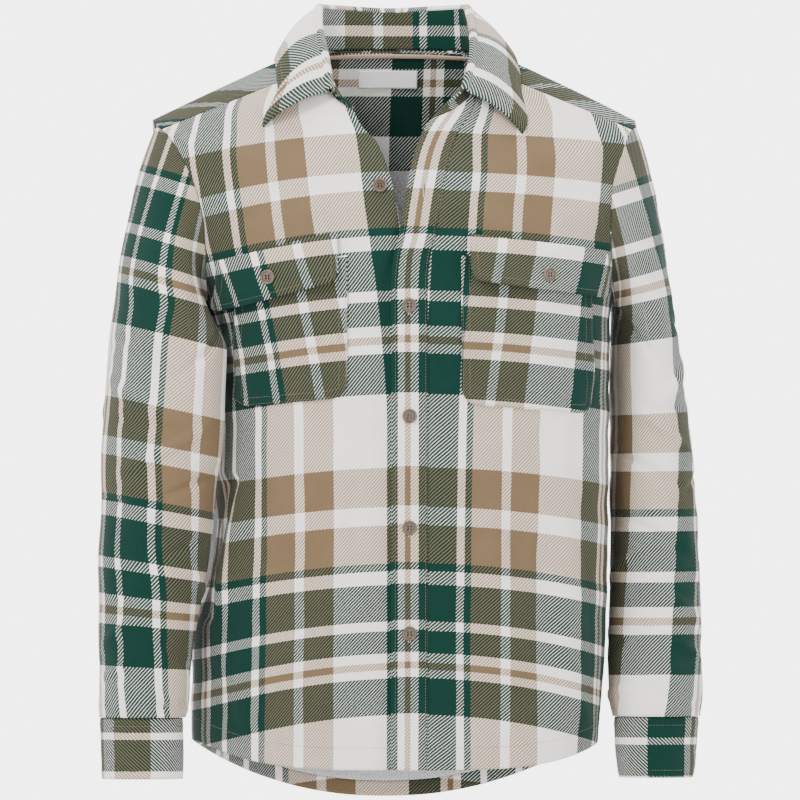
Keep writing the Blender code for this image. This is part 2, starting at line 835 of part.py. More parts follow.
def buttons():
    for number, height in enumerate(BAND_BUTTONS, start=2):
        angle, level = on_front(0.0, height)
        point, normal = body(angle, level, BAND_LIFT + GAP)
        button(f"front_button_{number}", point, normal)
    angle, level = on_front(*NECK_BUTTON)
    point, normal = body(angle, level, 2 * GAP - underlap(angle, level))
    button("front_button_1", point, normal)
    for side in ("right", "left"):
        angle, level = on_front(*FLAP_BUTTONS[side])
        out = POCKET_LIFT[side] + POCKET + LAYER + FLAP + GAP + FLAP_BUTTON_LIFT[side]
        point, normal = body(angle, level, out)
        button(side + "_flap_button", point, normal)


front("right_front", -1)
front("left_front", 1)
band()
back()
yoke()
inner_yoke()
back_lining()
hem_facing()
neck_tape()
label()
sleeve("right_sleeve", RIGHT_SLEEVE, -1)
sleeve("left_sleeve", LEFT_SLEEVE, 1)
cuff("right_cuff", RIGHT_CUFF, -1)
cuff("left_cuff", LEFT_CUFF, 1)
collar_stand()
collar_leaf()
pockets()
buttons()
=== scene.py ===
# The looks of a plaid flannel shirt jacket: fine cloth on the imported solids, the woven
# plaid, folds, stitching, buttons, floor, light and camera. Metres, +Z up, front at -Y.

from math import cos, pi, radians, sin

import bmesh
import bpy
import numpy as np
from mathutils import Matrix, Vector


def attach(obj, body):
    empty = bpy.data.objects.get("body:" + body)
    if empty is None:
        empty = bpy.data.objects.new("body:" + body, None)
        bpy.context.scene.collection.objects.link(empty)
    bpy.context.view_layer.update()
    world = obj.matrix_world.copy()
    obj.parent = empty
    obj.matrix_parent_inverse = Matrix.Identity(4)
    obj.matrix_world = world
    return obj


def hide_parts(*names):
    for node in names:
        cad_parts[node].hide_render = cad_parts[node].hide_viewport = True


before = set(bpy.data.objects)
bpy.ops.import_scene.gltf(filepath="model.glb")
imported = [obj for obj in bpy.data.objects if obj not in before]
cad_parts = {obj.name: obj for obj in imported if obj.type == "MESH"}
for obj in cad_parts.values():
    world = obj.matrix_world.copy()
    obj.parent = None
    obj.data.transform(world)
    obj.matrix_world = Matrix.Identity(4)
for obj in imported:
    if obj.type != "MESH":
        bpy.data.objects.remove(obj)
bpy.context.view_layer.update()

cloth = {"wall": 0.0025, "cuff": 0.003, "leaf": 0.0025, "lining": 0.0014, "pocket": 0.0015,
         "flap": 0.0022, "gap": 0.0003, "layer": 0.0009}


def curve(xs, ys):
    # a smooth curve through a short table that never overshoots it
    xs, ys = np.array(xs, float), np.array(ys, float)
    steps = np.diff(ys) / np.diff(xs)
    product, total = steps[:-1] * steps[1:], steps[:-1] + steps[1:]
    inner = np.where(product <= 0, 0.0, 2 * product / np.where(product <= 0, 1.0, total))
    slopes = np.concatenate([steps[:1], inner, steps[-1:]])

    def value(x):
        i = np.clip(np.searchsorted(xs, x, "right") - 1, 0, len(xs) - 2)
        width = xs[i + 1] - xs[i]
        t = np.clip((x - xs[i]) / width, 0.0, 1.0)
        rise, start, end = ys[i + 1] - ys[i], slopes[i] * width, slopes[i + 1] * width
        return ys[i] + t * (start + t * (3 * rise - 2 * start - end + t * (start + end - 2 * rise)))

    return value


def table(rows):
    columns = list(zip(*sorted(rows)))
    curves = [curve(columns[0], column) for column in columns[1:]]
    return lambda x: [value(x) for value in curves]


def ease(t):
    t = np.clip(t, 0.0, 1.0)
    return t * t * (3 - 2 * t)


def unit(v):
    return v / np.maximum(np.linalg.norm(v, axis=-1, keepdims=True), 1e-12)


def solve(miss, low, high, steps=40):
    # the angle where miss is zero, for a whole array at once
    for _ in range(steps):
        middle = (low + high) / 2
        above = miss(middle) > 0
        high = np.where(above, middle, high)
        low = np.where(above, low, middle)
    return (low + high) / 2


# The trunk: an angle round it, 0 in front and 90 degrees at the wearer's left, and a level
trunk = {
    "rings": [  # level, front, back, right half, left half, front depth, back depth
        (-0.760, -0.760, -0.760, 0.1920, 0.1900, -0.128, 0.130),
        (-0.650, -0.650, -0.650, 0.2012, 0.1970, -0.136, 0.132),
        (-0.560, -0.560, -0.560, 0.2005, 0.2040, -0.138, 0.128),
        (-0.460, -0.460, -0.460, 0.1868, 0.2070, -0.138, 0.122),
        (-0.360, -0.360, -0.360, 0.1770, 0.2078, -0.139, 0.120),
        (-0.270, -0.272, -0.270, 0.1780, 0.2085, -0.139, 0.124),
        (-0.225, -0.230, -0.225, 0.1880, 0.2100, -0.137, 0.127),
        (-0.190, -0.205, -0.192, 0.2030, 0.2180, -0.135, 0.128),
        (-0.120, -0.152, -0.127, 0.2255, 0.2320, -0.125, 0.124),
        (-0.060, -0.107, -0.072, 0.2390, 0.2370, -0.111, 0.114),
        (-0.044, -0.097, -0.056, 0.2400, 0.2345, -0.107, 0.110),
        (-0.0245, -0.084, -0.036, 0.1990, 0.1950, -0.099, 0.103),
        (-0.005, -0.070, -0.015, 0.1570, 0.1540, -0.091, 0.094),
        (0.010, -0.058, 0.008, 0.1240, 0.1215, -0.085, 0.084),
        (0.024, -0.047, 0.026, 0.0890, 0.0870, -0.080, 0.074),
    ],
    "shoulderRow": 10, "squareness": 0.15,
    "hem": -0.651, "underarm": -0.225, "shoulder": -0.044, "neck": 0.024,
    "frontHem": -0.679, "backHem": -0.709, "hemWidth": 0.2, "facing": 0.015,
    "armholeFront": radians(24), "armholeBack": radians(28),
    "shoulderSeam": radians(74), "neckSeam": radians(68),
    "yokeSeam": 0.7939,  # share of the armhole's height
}
wholeTrunk = table(trunk["rings"])
lowerTrunk = table(trunk["rings"][:trunk["shoulderRow"] + 1])
upperTrunk = table(trunk["rings"][trunk["shoulderRow"]:])


def trunkPoint(angle, level):
    angle, level = np.broadcast_arrays(np.asarray(angle, float), np.asarray(level, float))
    frontZ, backZ, right, left, frontY, backY = wholeTrunk(level)
    low, high = lowerTrunk(level), upperTrunk(level)
    above = level > trunk["shoulder"]
    across, along = np.sin(angle), np.cos(angle)
    sharpRight, sharpLeft = np.where(above, high[2], low[2]), np.where(above, high[3], low[3])
    sharp, soft = np.where(across > 0, sharpLeft, sharpRight), np.where(across > 0, left, right)
    half = sharp + (soft - sharp) * along ** 2
    depth = np.where(along > 0, -frontY, backY)
    endZ = np.where(along > 0, frontZ, backZ)
    q = trunk["squareness"]
    return np.stack([half * across * (1 + q * along ** 2), -depth * along * (1 + q * across ** 2),
                     level + (endZ - level) * np.abs(along) ** 1.3], axis=-1)


def trunkNormal(angle, level):
    nudge = 0.0004
    side = trunkPoint(angle + nudge, level) - trunkPoint(angle - nudge, level)
    up = trunkPoint(angle, level + nudge) - trunkPoint(angle, level - nudge)
    return unit(np.cross(side, up))


# Folds of the trunk: start x, z, end x, z, sideways bend, width, height (troughs are below 0)
trunkFolds = {
    "scale": 1.3,
    "front": [
        (-0.150, -0.395, -0.192, -0.560, 0.000, 0.012, 0.0045),
        (-0.060, -0.360, -0.095, -0.640, 0.000, 0.022, 0.0030),
        (0.075, -0.380, 0.110, -0.650, 0.000, 0.024, 0.0035),
        (0.150, -0.350, 0.170, -0.640, 0.000, 0.020, 0.0030),
        (0.030, -0.120, 0.120, -0.160, 0.000, 0.016, 0.0015),
        (-0.166, -0.385, -0.190, -0.545, 0.010, 0.007, -0.0050),
        (-0.120, -0.410, -0.150, -0.600, -0.008, 0.018, -0.0022),
        (-0.040, -0.330, -0.050, -0.520, 0.006, 0.016, -0.0014),
        (-0.110, -0.560, -0.060, -0.690, 0.010, 0.015, 0.0018),
        (0.040, -0.480, 0.060, -0.680, -0.006, 0.018, -0.0020),
        (0.135, -0.430, 0.150, -0.620, 0.008, 0.016, -0.0024),
        (0.185, -0.300, 0.120, -0.380, 0.008, 0.012, -0.0016),
        (0.190, -0.240, 0.150, -0.345, -0.010, 0.011, 0.0018),
        (-0.175, -0.235, -0.150, -0.330, 0.006, 0.010, -0.0018),
        (-0.170, -0.150, -0.120, -0.100, 0.006, 0.014, -0.0016),
        (0.185, -0.120, 0.130, -0.085, -0.006, 0.014, -0.0014),
        (0.205, -0.170, 0.150, -0.150, 0.006, 0.012, -0.0015),
        (-0.060, -0.110, -0.110, -0.150, 0.004, 0.012, 0.0014),
        (0.012, -0.688, 0.024, -0.676, 0.001, 0.004, 0.0016),
        (-0.030, -0.240, -0.034, -0.660, 0.002, 0.008, -0.0012),
        (0.160, -0.560, 0.190, -0.660, 0.004, 0.012, 0.0020),
        (-0.186, -0.560, -0.150, -0.650, -0.006, 0.014, 0.0020),
    ],
    "back": [
        (-0.120, -0.160, -0.070, -0.330, 0.010, 0.020, 0.0022),
        (0.130, -0.170, 0.080, -0.310, -0.012, 0.022, 0.0024),
        (-0.150, -0.300, -0.060, -0.390, 0.012, 0.014, -0.0024),
        (0.160, -0.320, 0.070, -0.420, -0.010, 0.013, -0.0026),
        (-0.090, -0.430, -0.130, -0.660, 0.008, 0.024, 0.0032),
        (0.020, -0.400, 0.000, -0.680, 0.010, 0.026, 0.0026),
        (0.110, -0.450, 0.140, -0.650, -0.008, 0.022, 0.0034),
        (-0.030, -0.480, -0.060, -0.690, -0.006, 0.018, -0.0022),
        (0.065, -0.500, 0.075, -0.690, 0.006, 0.017, -0.0024),
        (-0.175, -0.400, -0.188, -0.600, 0.006, 0.014, 0.0024),
        (0.180, -0.380, 0.190, -0.590, -0.006, 0.013, 0.0022),
        (-0.020, -0.200, -0.010, -0.330, 0.006, 0.018, -0.0014),
    ],
}


def foldRelief(x, z, folds):
    total = np.zeros(np.broadcast(x, z).shape)
    for startX, startZ, endX, endZ, bend, width, height in folds:
        run = np.array([endX - startX, endZ - startZ])
        length = np.hypot(*run)
        run = run / length
        share = ((x - startX) * run[0] + (z - startZ) * run[1]) / length
        aside = (x - startX) * run[1] - (z - startZ) * run[0] - bend * 4 * share * (1 - share)
        wide = width * (0.8 + 0.4 * np.clip(share, 0, 1))
        ends = ease(share / 0.35) * ease((1 - share) / 0.35)
        total += height * ends * np.maximum(0.0, 1 - (aside / wide) ** 2) ** 2
    return total * trunkFolds["scale"]


def softWaves(a, b, seed, height=0.0006):
    # slow unevenness of hanging cloth, from a few crossing waves
    chance = np.random.default_rng(seed)
    total = np.zeros(np.broadcast(a, b).shape)
    for _ in range(7):
        turn, size, phase = chance.uniform(0, pi), chance.uniform(0.028, 0.085), chance.uniform(0, 2 * pi)
        total += np.sin((a * cos(turn) + b * sin(turn)) * 2 * pi / size + phase)
    return total * height / 3


def trunkCloth(angle, level, out=0.0, folds=True):
    base, normal = trunkPoint(angle, level), trunkNormal(angle, level)
    relief = np.zeros(base.shape[:-1])
    if folds:
        front = np.cos(angle) > 0
        x, z = base[..., 0], base[..., 2]
        fade = ease((-0.06 - z) / 0.03)
        relief = np.where(front, foldRelief(x, z, trunkFolds["front"]), foldRelief(x, z, trunkFolds["back"]))
        relief = (relief + softWaves(x, z, 3)) * fade
    return base + normal * (out + relief)[..., None], normal


def onTrunk(x, z, back=False):
    # the angle and level of the point of the front or back at x and z
    x, z = np.broadcast_arrays(np.asarray(x, float), np.asarray(z, float))
    angle = np.arcsin(np.clip(x / 0.24, -0.97, 0.97))
    angle = pi - angle if back else angle
    level = z.copy()
    for _ in range(16):
        here = trunkPoint(angle, level)
        byAngle = (trunkPoint(angle + 1e-4, level) - here) / 1e-4
        byLevel = (trunkPoint(angle, level + 1e-5) - here) / 1e-5
        missX, missZ = x - here[..., 0], z - here[..., 2]
        area = byAngle[..., 0] * byLevel[..., 2] - byLevel[..., 0] * byAngle[..., 2]
        area = np.where(np.abs(area) < 1e-6, 1e-6, area)
        angle = angle + np.clip((missX * byLevel[..., 2] - byLevel[..., 0] * missZ) / area, -0.2, 0.2)
        level = level + np.clip((byAngle[..., 0] * missZ - byAngle[..., 2] * missX) / area, -0.04, 0.04)
    return angle, level


def spread(angle, level, distance):
    # the angle that moves a point sideways by a distance
    step = np.linalg.norm(trunkPoint(angle + 0.002, level) - trunkPoint(angle - 0.002, level), axis=-1)
    return distance * 0.004 / step


def armholeAngles(level):
    share = np.clip((level - trunk["underarm"]) / (trunk["shoulder"] - trunk["underarm"]), 0, 1)
    bow = 2 * np.sqrt(share * (1 - share))
    middle = pi / 2 + (trunk["shoulderSeam"] - pi / 2) * share
    return middle - trunk["armholeFront"] * bow, middle + trunk["armholeBack"] * bow


def shoulderAngle(level):
    share = (level - trunk["shoulder"]) / (trunk["neck"] - trunk["shoulder"])
    return trunk["shoulderSeam"] + (trunk["neckSeam"] - trunk["shoulderSeam"]) * share


def hemLevel(angle):
    x = np.minimum(np.abs(trunkPoint(angle, trunk["hem"])[..., 0]) / trunk["hemWidth"], 1.0)
    front = trunk["frontHem"] + (trunk["hem"] - trunk["frontHem"]) * x ** 4
    back = trunk["backHem"] + (trunk["hem"] - trunk["backHem"]) * x ** 2.2
    return np.where(np.cos(angle) > 0, front, back)


sideBottom = -0.600


def trunkLevels(top):
    # levels of the rows above the hem, close together where the armhole turns
    low, high = trunk["underarm"], trunk["shoulder"]
    side = np.linspace(sideBottom, low, 104)[:-1]
    hole = low + (high - low) * (1 - np.cos(np.linspace(0, pi, 57))) / 2
    levels = np.concatenate([side, hole, np.linspace(high, trunk["neck"] - cloth["gap"], 25)[1:]])
    return np.concatenate([levels[levels < top - 0.0005], [top]])


hemRows = 28


def withHem(angle, levels, lift=0.0):
    # adds the rows between the curved hem and the first level
    first = angle[:1]
    hem = hemLevel(first) + lift
    share = np.linspace(0, 1, hemRows + 1)[:-1, None]
    lower = hem + (sideBottom - hem) * share
    angles = np.concatenate([np.repeat(first, hemRows, axis=0), angle])
    return angles, np.concatenate([lower, np.broadcast_to(levels[:, None], angle.shape)])


def runLength(points, start=0):
    # distance along each row of a grid, from the column called start
    steps = np.linalg.norm(np.diff(points, axis=1), axis=-1)
    run = np.concatenate([np.zeros((len(points), 1)), np.cumsum(steps, axis=1)], axis=1)
    return run - run[:, start:start + 1]


# Materials
colours = {  # as seen, red, green and blue
    "white": (236, 232, 225), "tan": (104, 86, 63), "green": (2, 43, 35), "beige": (205, 178, 154),
    "fleeceLight": (226, 226, 227), "fleeceDark": (140, 141, 143),
    "tapeLight": (206, 176, 156), "tapeDark": (160, 128, 108),
    "label": (250, 250, 249), "labelDark": (238, 238, 237),
    # hole is near black: the painted shadow in the buttonhole slits, and the darker tone of the button thread
    "button": (92, 75, 60), "buttonDark": (62, 48, 38), "hole": (24, 17, 13),
    "thread": (132, 112, 94), "threadDark": (92, 76, 62), "floor": (236, 236, 236),
}
# One repeat of the plaid, across the cloth and down it, in millimetres
plaid = {
    "warp": "white 52 green 32 white 7 tan 6 white 7 green 20 white 7 green 31 white 8 green 6 tan 30 "
            "white 10 tan 30",
    "weft": "tan 38 white 17 tan 37 green 8 white 14 green 40 white 10 green 25 white 10 tan 7 white 9 "
            "green 40 white 72",
    "twillAcross": 0.0035, "twillDown": 0.0038, "wander": 0.0009, "darkShare": 0.2,
}


def linear(name):
    shares = [c / 255 for c in colours[name]]
    return [c / 12.92 if c <= 0.04045 else ((c + 0.055) / 1.055) ** 2.4 for c in shares] + [1.0]


class Nodes:
    # a short way to write a material's node tree
    def __init__(self, name, roughness, sheen=0.0):
        self.material = bpy.data.materials.new(name)
        self.material.use_nodes = True
        self.tree = self.material.node_tree
        self.shader = self.tree.nodes["Principled BSDF"]
        self.shader.inputs["Roughness"].default_value = roughness
        self.shader.inputs["Metallic"].default_value = 0.0
        self.shader.inputs["Specular IOR Level"].default_value = 0.12
        if sheen:
            self.shader.inputs["Sheen Weight"].default_value = sheen
            self.shader.inputs["Sheen Roughness"].default_value = 0.55

    def put(self, socket, value):
        if isinstance(value, bpy.types.NodeSocket):
            self.tree.links.new(value, socket)
        else:
            socket.default_value = value

    def math(self, operation, a, b=None):
        node = self.tree.nodes.new("ShaderNodeMath")
        node.operation = operation
        self.put(node.inputs[0], a)
        if b is not None:
            self.put(node.inputs[1], b)
        return node.outputs[0]

    def zigzag(self, turn):
        # 0 to 0.5 and back once in each turn
        return self.math("ABSOLUTE", self.math("SUBTRACT", self.math("FRACT", turn), 0.5))

    def place(self, coords="uv"):
        if coords == "uv":
            node = self.tree.nodes.new("ShaderNodeUVMap")
            node.uv_map = "Weave"
            return node.outputs[0]
        return self.tree.nodes.new("ShaderNodeTexCoord").outputs["Object"]

    def split(self, vector):
        node = self.tree.nodes.new("ShaderNodeSeparateXYZ")
        self.put(node.inputs[0], vector)
        return node.outputs

    def noise(self, vector, scale, detail=2.0, roughness=0.5):
        node = self.tree.nodes.new("ShaderNodeTexNoise")
        self.put(node.inputs["Vector"], vector)
        node.inputs["Scale"].default_value = scale
        node.inputs["Detail"].default_value = detail
        node.inputs["Roughness"].default_value = roughness
        return node.outputs["Fac"]

    def remap(self, value, low, high, toLow=0.0, toHigh=1.0):
        node = self.tree.nodes.new("ShaderNodeMapRange")
        node.interpolation_type = "SMOOTHSTEP"
        self.put(node.inputs["Value"], value)
        for socket, number in zip(("From Min", "From Max", "To Min", "To Max"), (low, high, toLow, toHigh)):
            node.inputs[socket].default_value = number
        return node.outputs["Result"]

    def mix(self, share, a, b, blend="MIX"):
        node = self.tree.nodes.new("ShaderNodeMix")
        node.data_type = "RGBA"
        node.blend_type = blend
        self.put(node.inputs["Factor"], share)
        self.put(node.inputs["A"], a)
        self.put(node.inputs["B"], b)
        return node.outputs["Result"]

    def shade(self, colour, value):
        # the colour times a number
        node = self.tree.nodes.new("ShaderNodeVectorMath")
        node.operation = "SCALE"
        self.put(node.inputs[0], colour)
        self.put(node.inputs["Scale"], value)
        return node.outputs[0]

    def bump(self, height, distance, before=None):
        node = self.tree.nodes.new("ShaderNodeBump")
        node.inputs["Strength"].default_value = 1.0
        node.inputs["Distance"].default_value = distance
        self.put(node.inputs["Height"], height)
        if before:
            self.put(node.inputs["Normal"], before)
        return node.outputs[0]

    def finish(self, colour, normal=None):
        self.put(self.shader.inputs["Base Color"], colour)
        if normal:
            self.put(self.shader.inputs["Normal"], normal)
        return self.material


def stripes(nodes, where, order):
    # the yarn colours of one direction, from a repeat such as "white 52 green 32"
    words = order.split()
    names, widths = words[0::2], [float(w) for w in words[1::2]]
    repeat = sum(widths)
    ramp = nodes.tree.nodes.new("ShaderNodeValToRGB")
    ramp.color_ramp.interpolation = "CONSTANT"
    at = 0.0
    for index, (name, width) in enumerate(zip(names, widths)):
        stops = ramp.color_ramp.elements
        stop = stops[index] if index < 2 else stops.new(at / repeat)
        stop.position = at / repeat
        stop.color = linear(name)
        at += width
    turned = nodes.math("FRACT", nodes.math("DIVIDE", where, repeat / 1000))
    nodes.put(ramp.inputs[0], turned)
    return ramp.outputs[0]


def flannelMaterial(name, slant=1, hazeAndPaintedLight=0.025):
    # brushed twill: each crossing shows warp and weft as fine slanting lines
    nodes = Nodes(name, 0.92, 0.06)
    place = nodes.place()
    across, down, _ = nodes.split(place)
    stray, strayDown = (nodes.math("MULTIPLY", nodes.math("SUBTRACT", nodes.noise(place, scale, 3.0), 0.5),
                                   plaid["wander"]) for scale in (420.0, 350.0))
    warp = stripes(nodes, nodes.math("ADD", across, stray), plaid["warp"])
    weft = stripes(nodes, nodes.math("ADD", down, strayDown), plaid["weft"])
    turn = nodes.math("ADD", nodes.math("DIVIDE", across, plaid["twillAcross"]),
                      nodes.math("DIVIDE", down, slant * plaid["twillDown"]))
    turn = nodes.math("ADD", turn, nodes.math("MULTIPLY", nodes.noise(place, 260.0, 2.0), 0.18))
    wave = nodes.zigzag(turn)
    # the darker yarn covers a little more than half of each crossing
    warpDark, weftDark = (nodes.math("POWER", 0.00005, nodes.split(yarn)[1]) for yarn in (warp, weft))
    darker = nodes.math("SUBTRACT", weftDark, warpDark)
    wave = nodes.math("ADD", wave, nodes.math("MULTIPLY", darker, plaid["darkShare"]))
    line = nodes.remap(wave, 0.205, 0.295, 0.02, 0.98)
    colour = nodes.mix(line, warp, weft)
    # the brushed nap spreads the tan over the white where those two cross
    both = nodes.math("ABSOLUTE", nodes.math("SUBTRACT", nodes.math("ADD", warpDark, weftDark), 0.41))
    colour = nodes.mix(nodes.remap(both, 0.0, 0.2, 0.34, 0.0), colour, linear("beige"))
    nap = nodes.noise(place, 1500.0, 3.0, 0.65)
    wear = nodes.noise(place, 22.0, 3.0)
    colour = nodes.shade(colour, nodes.remap(nap, 0.25, 0.75, 0.86, 1.10))
    colour = nodes.shade(colour, nodes.remap(wear, 0.3, 0.7, 0.965, 1.03))
    # a light fibre haze; the stronger haze of the inside copy also paints light onto cloth that lies in shade
    fuzzAndPaintedLight = nodes.remap(nodes.noise(place, 800.0, 4.0, 0.7), 0.56, 0.78, 0.0, hazeAndPaintedLight)
    colour = nodes.mix(fuzzAndPaintedLight, colour, (0.62, 0.60, 0.56, 1.0))
    rib = nodes.bump(wave, 0.00028)
    return nodes.finish(colour, nodes.bump(nap, 0.00022, rib))


def fleeceMaterial():
    nodes = Nodes("fleece melange", 0.95, 0.3)
    place = nodes.place()
    fibre = nodes.noise(place, 900.0, 4.0, 0.7)
    tuft = nodes.noise(place, 260.0, 3.0, 0.6)
    colour = nodes.mix(nodes.remap(fibre, 0.38, 0.62), linear("fleeceDark"), linear("fleeceLight"))
    colour = nodes.shade(colour, nodes.remap(tuft, 0.3, 0.7, 0.88, 1.08))
    return nodes.finish(colour, nodes.bump(fibre, 0.0004, nodes.bump(tuft, 0.0009)))


def ribbedMaterial(name, light, dark, across, roughness):
    # fine woven lines, for the tape and the label
    nodes = Nodes(name, roughness)
    place = nodes.place()
    x, y, _ = nodes.split(place)
    wave = nodes.zigzag(nodes.math("DIVIDE", nodes.math("ADD", x, y), across))
    colour = nodes.mix(nodes.remap(wave, 0.1, 0.4), linear(dark), linear(light))
    colour = nodes.shade(colour, nodes.remap(nodes.noise(place, 700.0, 3.0), 0.3, 0.7, 0.94, 1.04))
    return nodes.finish(colour, nodes.bump(wave, 0.00012))


def threadMaterial(name, light, dark):
    nodes = Nodes(name, 0.7, 0.1)
    place = nodes.place("object")
    fibre = nodes.noise(place, 2600.0, 2.0)
    colour = nodes.mix(nodes.remap(fibre, 0.35, 0.65), linear(dark), linear(light))
    return nodes.finish(colour, nodes.bump(fibre, 0.00006))


def buttonMaterial():
    # cast resin: slightly cloudy, satin, with fine turning marks
    nodes = Nodes("taupe resin", 0.36)
    nodes.shader.inputs["Specular IOR Level"].default_value = 0.5
    nodes.shader.inputs["Coat Weight"].default_value = 0.15
    place = nodes.place("object")
    cloud = nodes.noise(place, 240.0, 3.0, 0.6)
    colour = nodes.mix(nodes.remap(cloud, 0.3, 0.7), linear("buttonDark"), linear("button"))
    colour = nodes.mix(0.55, colour, linear("button"))
    return nodes.finish(colour, nodes.bump(nodes.noise(place, 1800.0, 2.0), 0.00003))


def plainMaterial(name, colour, roughness):
    nodes = Nodes(name, roughness)
    place = nodes.place("object")
    shade = nodes.remap(nodes.noise(place, 3.0), 0.3, 0.7, 0.99, 1.01)
    return nodes.finish(nodes.shade(linear(colour)[:3], shade))


finishes = {
    "flannel": flannelMaterial("brushed plaid flannel"),
    # the inside copy: a stronger light haze, partly fibre fuzz and partly painted light on the shaded inside
    "flannelInside": flannelMaterial("plaid flannel inside with painted light", hazeAndPaintedLight=0.09),
    "flannelTurned": flannelMaterial("plaid flannel of the stand", slant=-1),
    "fleece": fleeceMaterial(),
    "tape": ribbedMaterial("neck tape twill", "tapeLight", "tapeDark", 0.0011, 0.85),
    "label": ribbedMaterial("blank woven label", "label", "labelDark", 0.0006, 0.6),
    "thread": threadMaterial("sewing thread", "thread", "threadDark"),
    "threadDark": threadMaterial("dark button thread", "buttonDark", "hole"),
    "threadPale": threadMaterial("pale sewing thread", "white", "thread"),
    "button": buttonMaterial(),
    # painted shadow: the near-black of the buttonhole slits
    "hole": plainMaterial("painted shadow of the buttonhole slits", "hole", 0.8),
}
print("materials ready")


def meshData(name, mesh):
    data = bpy.data.meshes.new(name)
    mesh.to_mesh(data)
    mesh.free()
    return data


def linked(name, data):
    made = bpy.data.objects.new(name, data)
    bpy.context.scene.collection.objects.link(made)
    return made


def addPiece(name, mesh, materials):
    data = meshData(name, mesh)
    for material in materials:
        data.materials.append(finishes[material])
    piece = linked(name, data)
    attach(piece, "root")
    return piece


def clothPiece(name, points, weave, finish, thickness, nodes, inside=None, tube=False):
    # a grid laid on the points, then given its thickness inwards
    rows, columns = points.shape[0] - 1, points.shape[1] - 1
    mesh = bmesh.new()
    bmesh.ops.create_grid(mesh, x_segments=columns, y_segments=rows, size=0.5)
    layer = mesh.loops.layers.uv.new("Weave")
    at = {}
    for vertex in mesh.verts:
        at[vertex] = (round((vertex.co.y + 0.5) * rows), round((vertex.co.x + 0.5) * columns))
    for face in mesh.faces:
        face.smooth = True
        for loop in face.loops:
            loop[layer].uv = weave[at[loop.vert]]
    for vertex, key in at.items():
        vertex.co = points[key]
    if tube:
        bmesh.ops.remove_doubles(mesh, verts=mesh.verts, dist=0.00001)
    piece = addPiece(name, mesh, [finish, inside or finish])
    wall = piece.modifiers.new("Wall", "SOLIDIFY")
    wall.thickness = thickness
    wall.offset = -1.0
    wall.material_offset = 1
    wall.use_rim = True
    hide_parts(*nodes)
    return piece


# Where the plaid falls on the body, from stripes read in the photograph
pattern = {
    "rightPhase": 0.0746, "leftPhase": 0.1140, "bandPhase": 0.0783, "weftZero": -0.38416,
    "rightShift": [(-0.80, 0.0), (-0.515, 0.0), (-0.348, 0.0), (-0.127, -0.0206), (-0.06, -0.0262),
                   (-0.03, -0.0370), (0.1, -0.060)],
    "leftShift": [(-0.80, -0.002), (-0.515, -0.002), (-0.348, 0.0), (-0.136, 0.0120), (-0.105, 0.0160),
                  (-0.06, 0.0204), (-0.03, 0.0345), (0.1, 0.070)],
    "rightDroop": [(-0.72, 0.0225), (-0.63, 0.0215), (-0.41, 0.0128), (-0.32, 0.0150), (-0.23, 0.0175),
                   (-0.15, 0.0170), (-0.065, 0.0125), (0.05, 0.010)],
    "leftDroop": [(-0.72, 0.0225), (-0.63, 0.0215), (-0.41, 0.0110), (-0.15, 0.0092), (-0.065, 0.0057),
                  (0.05, 0.003)],
    "rightTwist": [(-0.70, 0.003), (-0.5145, 0.003), (-0.45, 0.010), (-0.232, 0.010), (-0.193, 0.022),
                   (-0.146, 0.029), (-0.05, 0.031)],
    "leftTwist": [(-0.70, -0.004), (-0.60, -0.006), (-0.43, -0.008), (-0.32, -0.004), (-0.265, 0.0),
                  (-0.234, 0.006), (-0.191, 0.014), (-0.161, 0.020), (-0.1205, 0.028), (-0.05, 0.036)],
    "rightTip": [(-0.70, 0.03), (-0.59, 0.05), (-0.54, 0.08), (-0.50, 0.14), (-0.44, 0.18), (-0.37, 0.20),
                 (-0.25, 0.25), (-0.19, 0.30), (-0.05, 0.32)],
    "leftTip": [(-0.70, 0.0), (-0.40, 0.01), (-0.33, 0.05), (-0.26, 0.15), (-0.19, 0.28), (-0.05, 0.32)],
    "middle": 0.003, "droopHalf": 0.157, "tightenBelow": -0.49, "hemTighten": 0.11,
    "edgeShift": 0.0038, "edgeReach": 0.028, "bandDown": 0.0015, "pocketUp": 0.004,
    "backPhase": 0.030, "yokePhase": -0.010, "yokeDown": 0.176, "yokeSlope": 0.42,
    "innerAcross": 0.051, "innerDown": 0.1968, "standAcross": 0.199, "standDown": 0.204, "leafEdge": 0.022,
    # sleeves and cuffs: along the outer line at one level, and down the arm
    "sleeveLevel": -0.515, "sleeveMiddle": 0.243, "rightSleeve": (0.1615, -0.3245),
    "leftSleeve": (0.0327, -0.3322), "rightCuff": (0.005, 0.5178), "leftCuff": (0.2433, 0.5238),
}
patternAt = {key: curve(*zip(*pattern[key])) for key in pattern if isinstance(pattern[key], list)}


def weftAt(points):
    x, z = points[..., 0] - pattern["middle"], points[..., 2]
    droop = np.where(x < 0, patternAt["rightDroop"](z), patternAt["leftDroop"](z))
    tighter = pattern["hemTighten"] * np.maximum(pattern["tightenBelow"] - z, 0)
    return pattern["weftZero"] - z - droop * (x / pattern["droopHalf"]) ** 2 + tighter


def phaseAt(side, z):
    # the warp's place on one front, less the shift read at each level
    label = "left" if side > 0 else "right"
    return pattern[label + "Phase"], patternAt[label + "Shift"](z)


def weaveOf(across, down):
    return np.stack(np.broadcast_arrays(across, down), axis=-1)


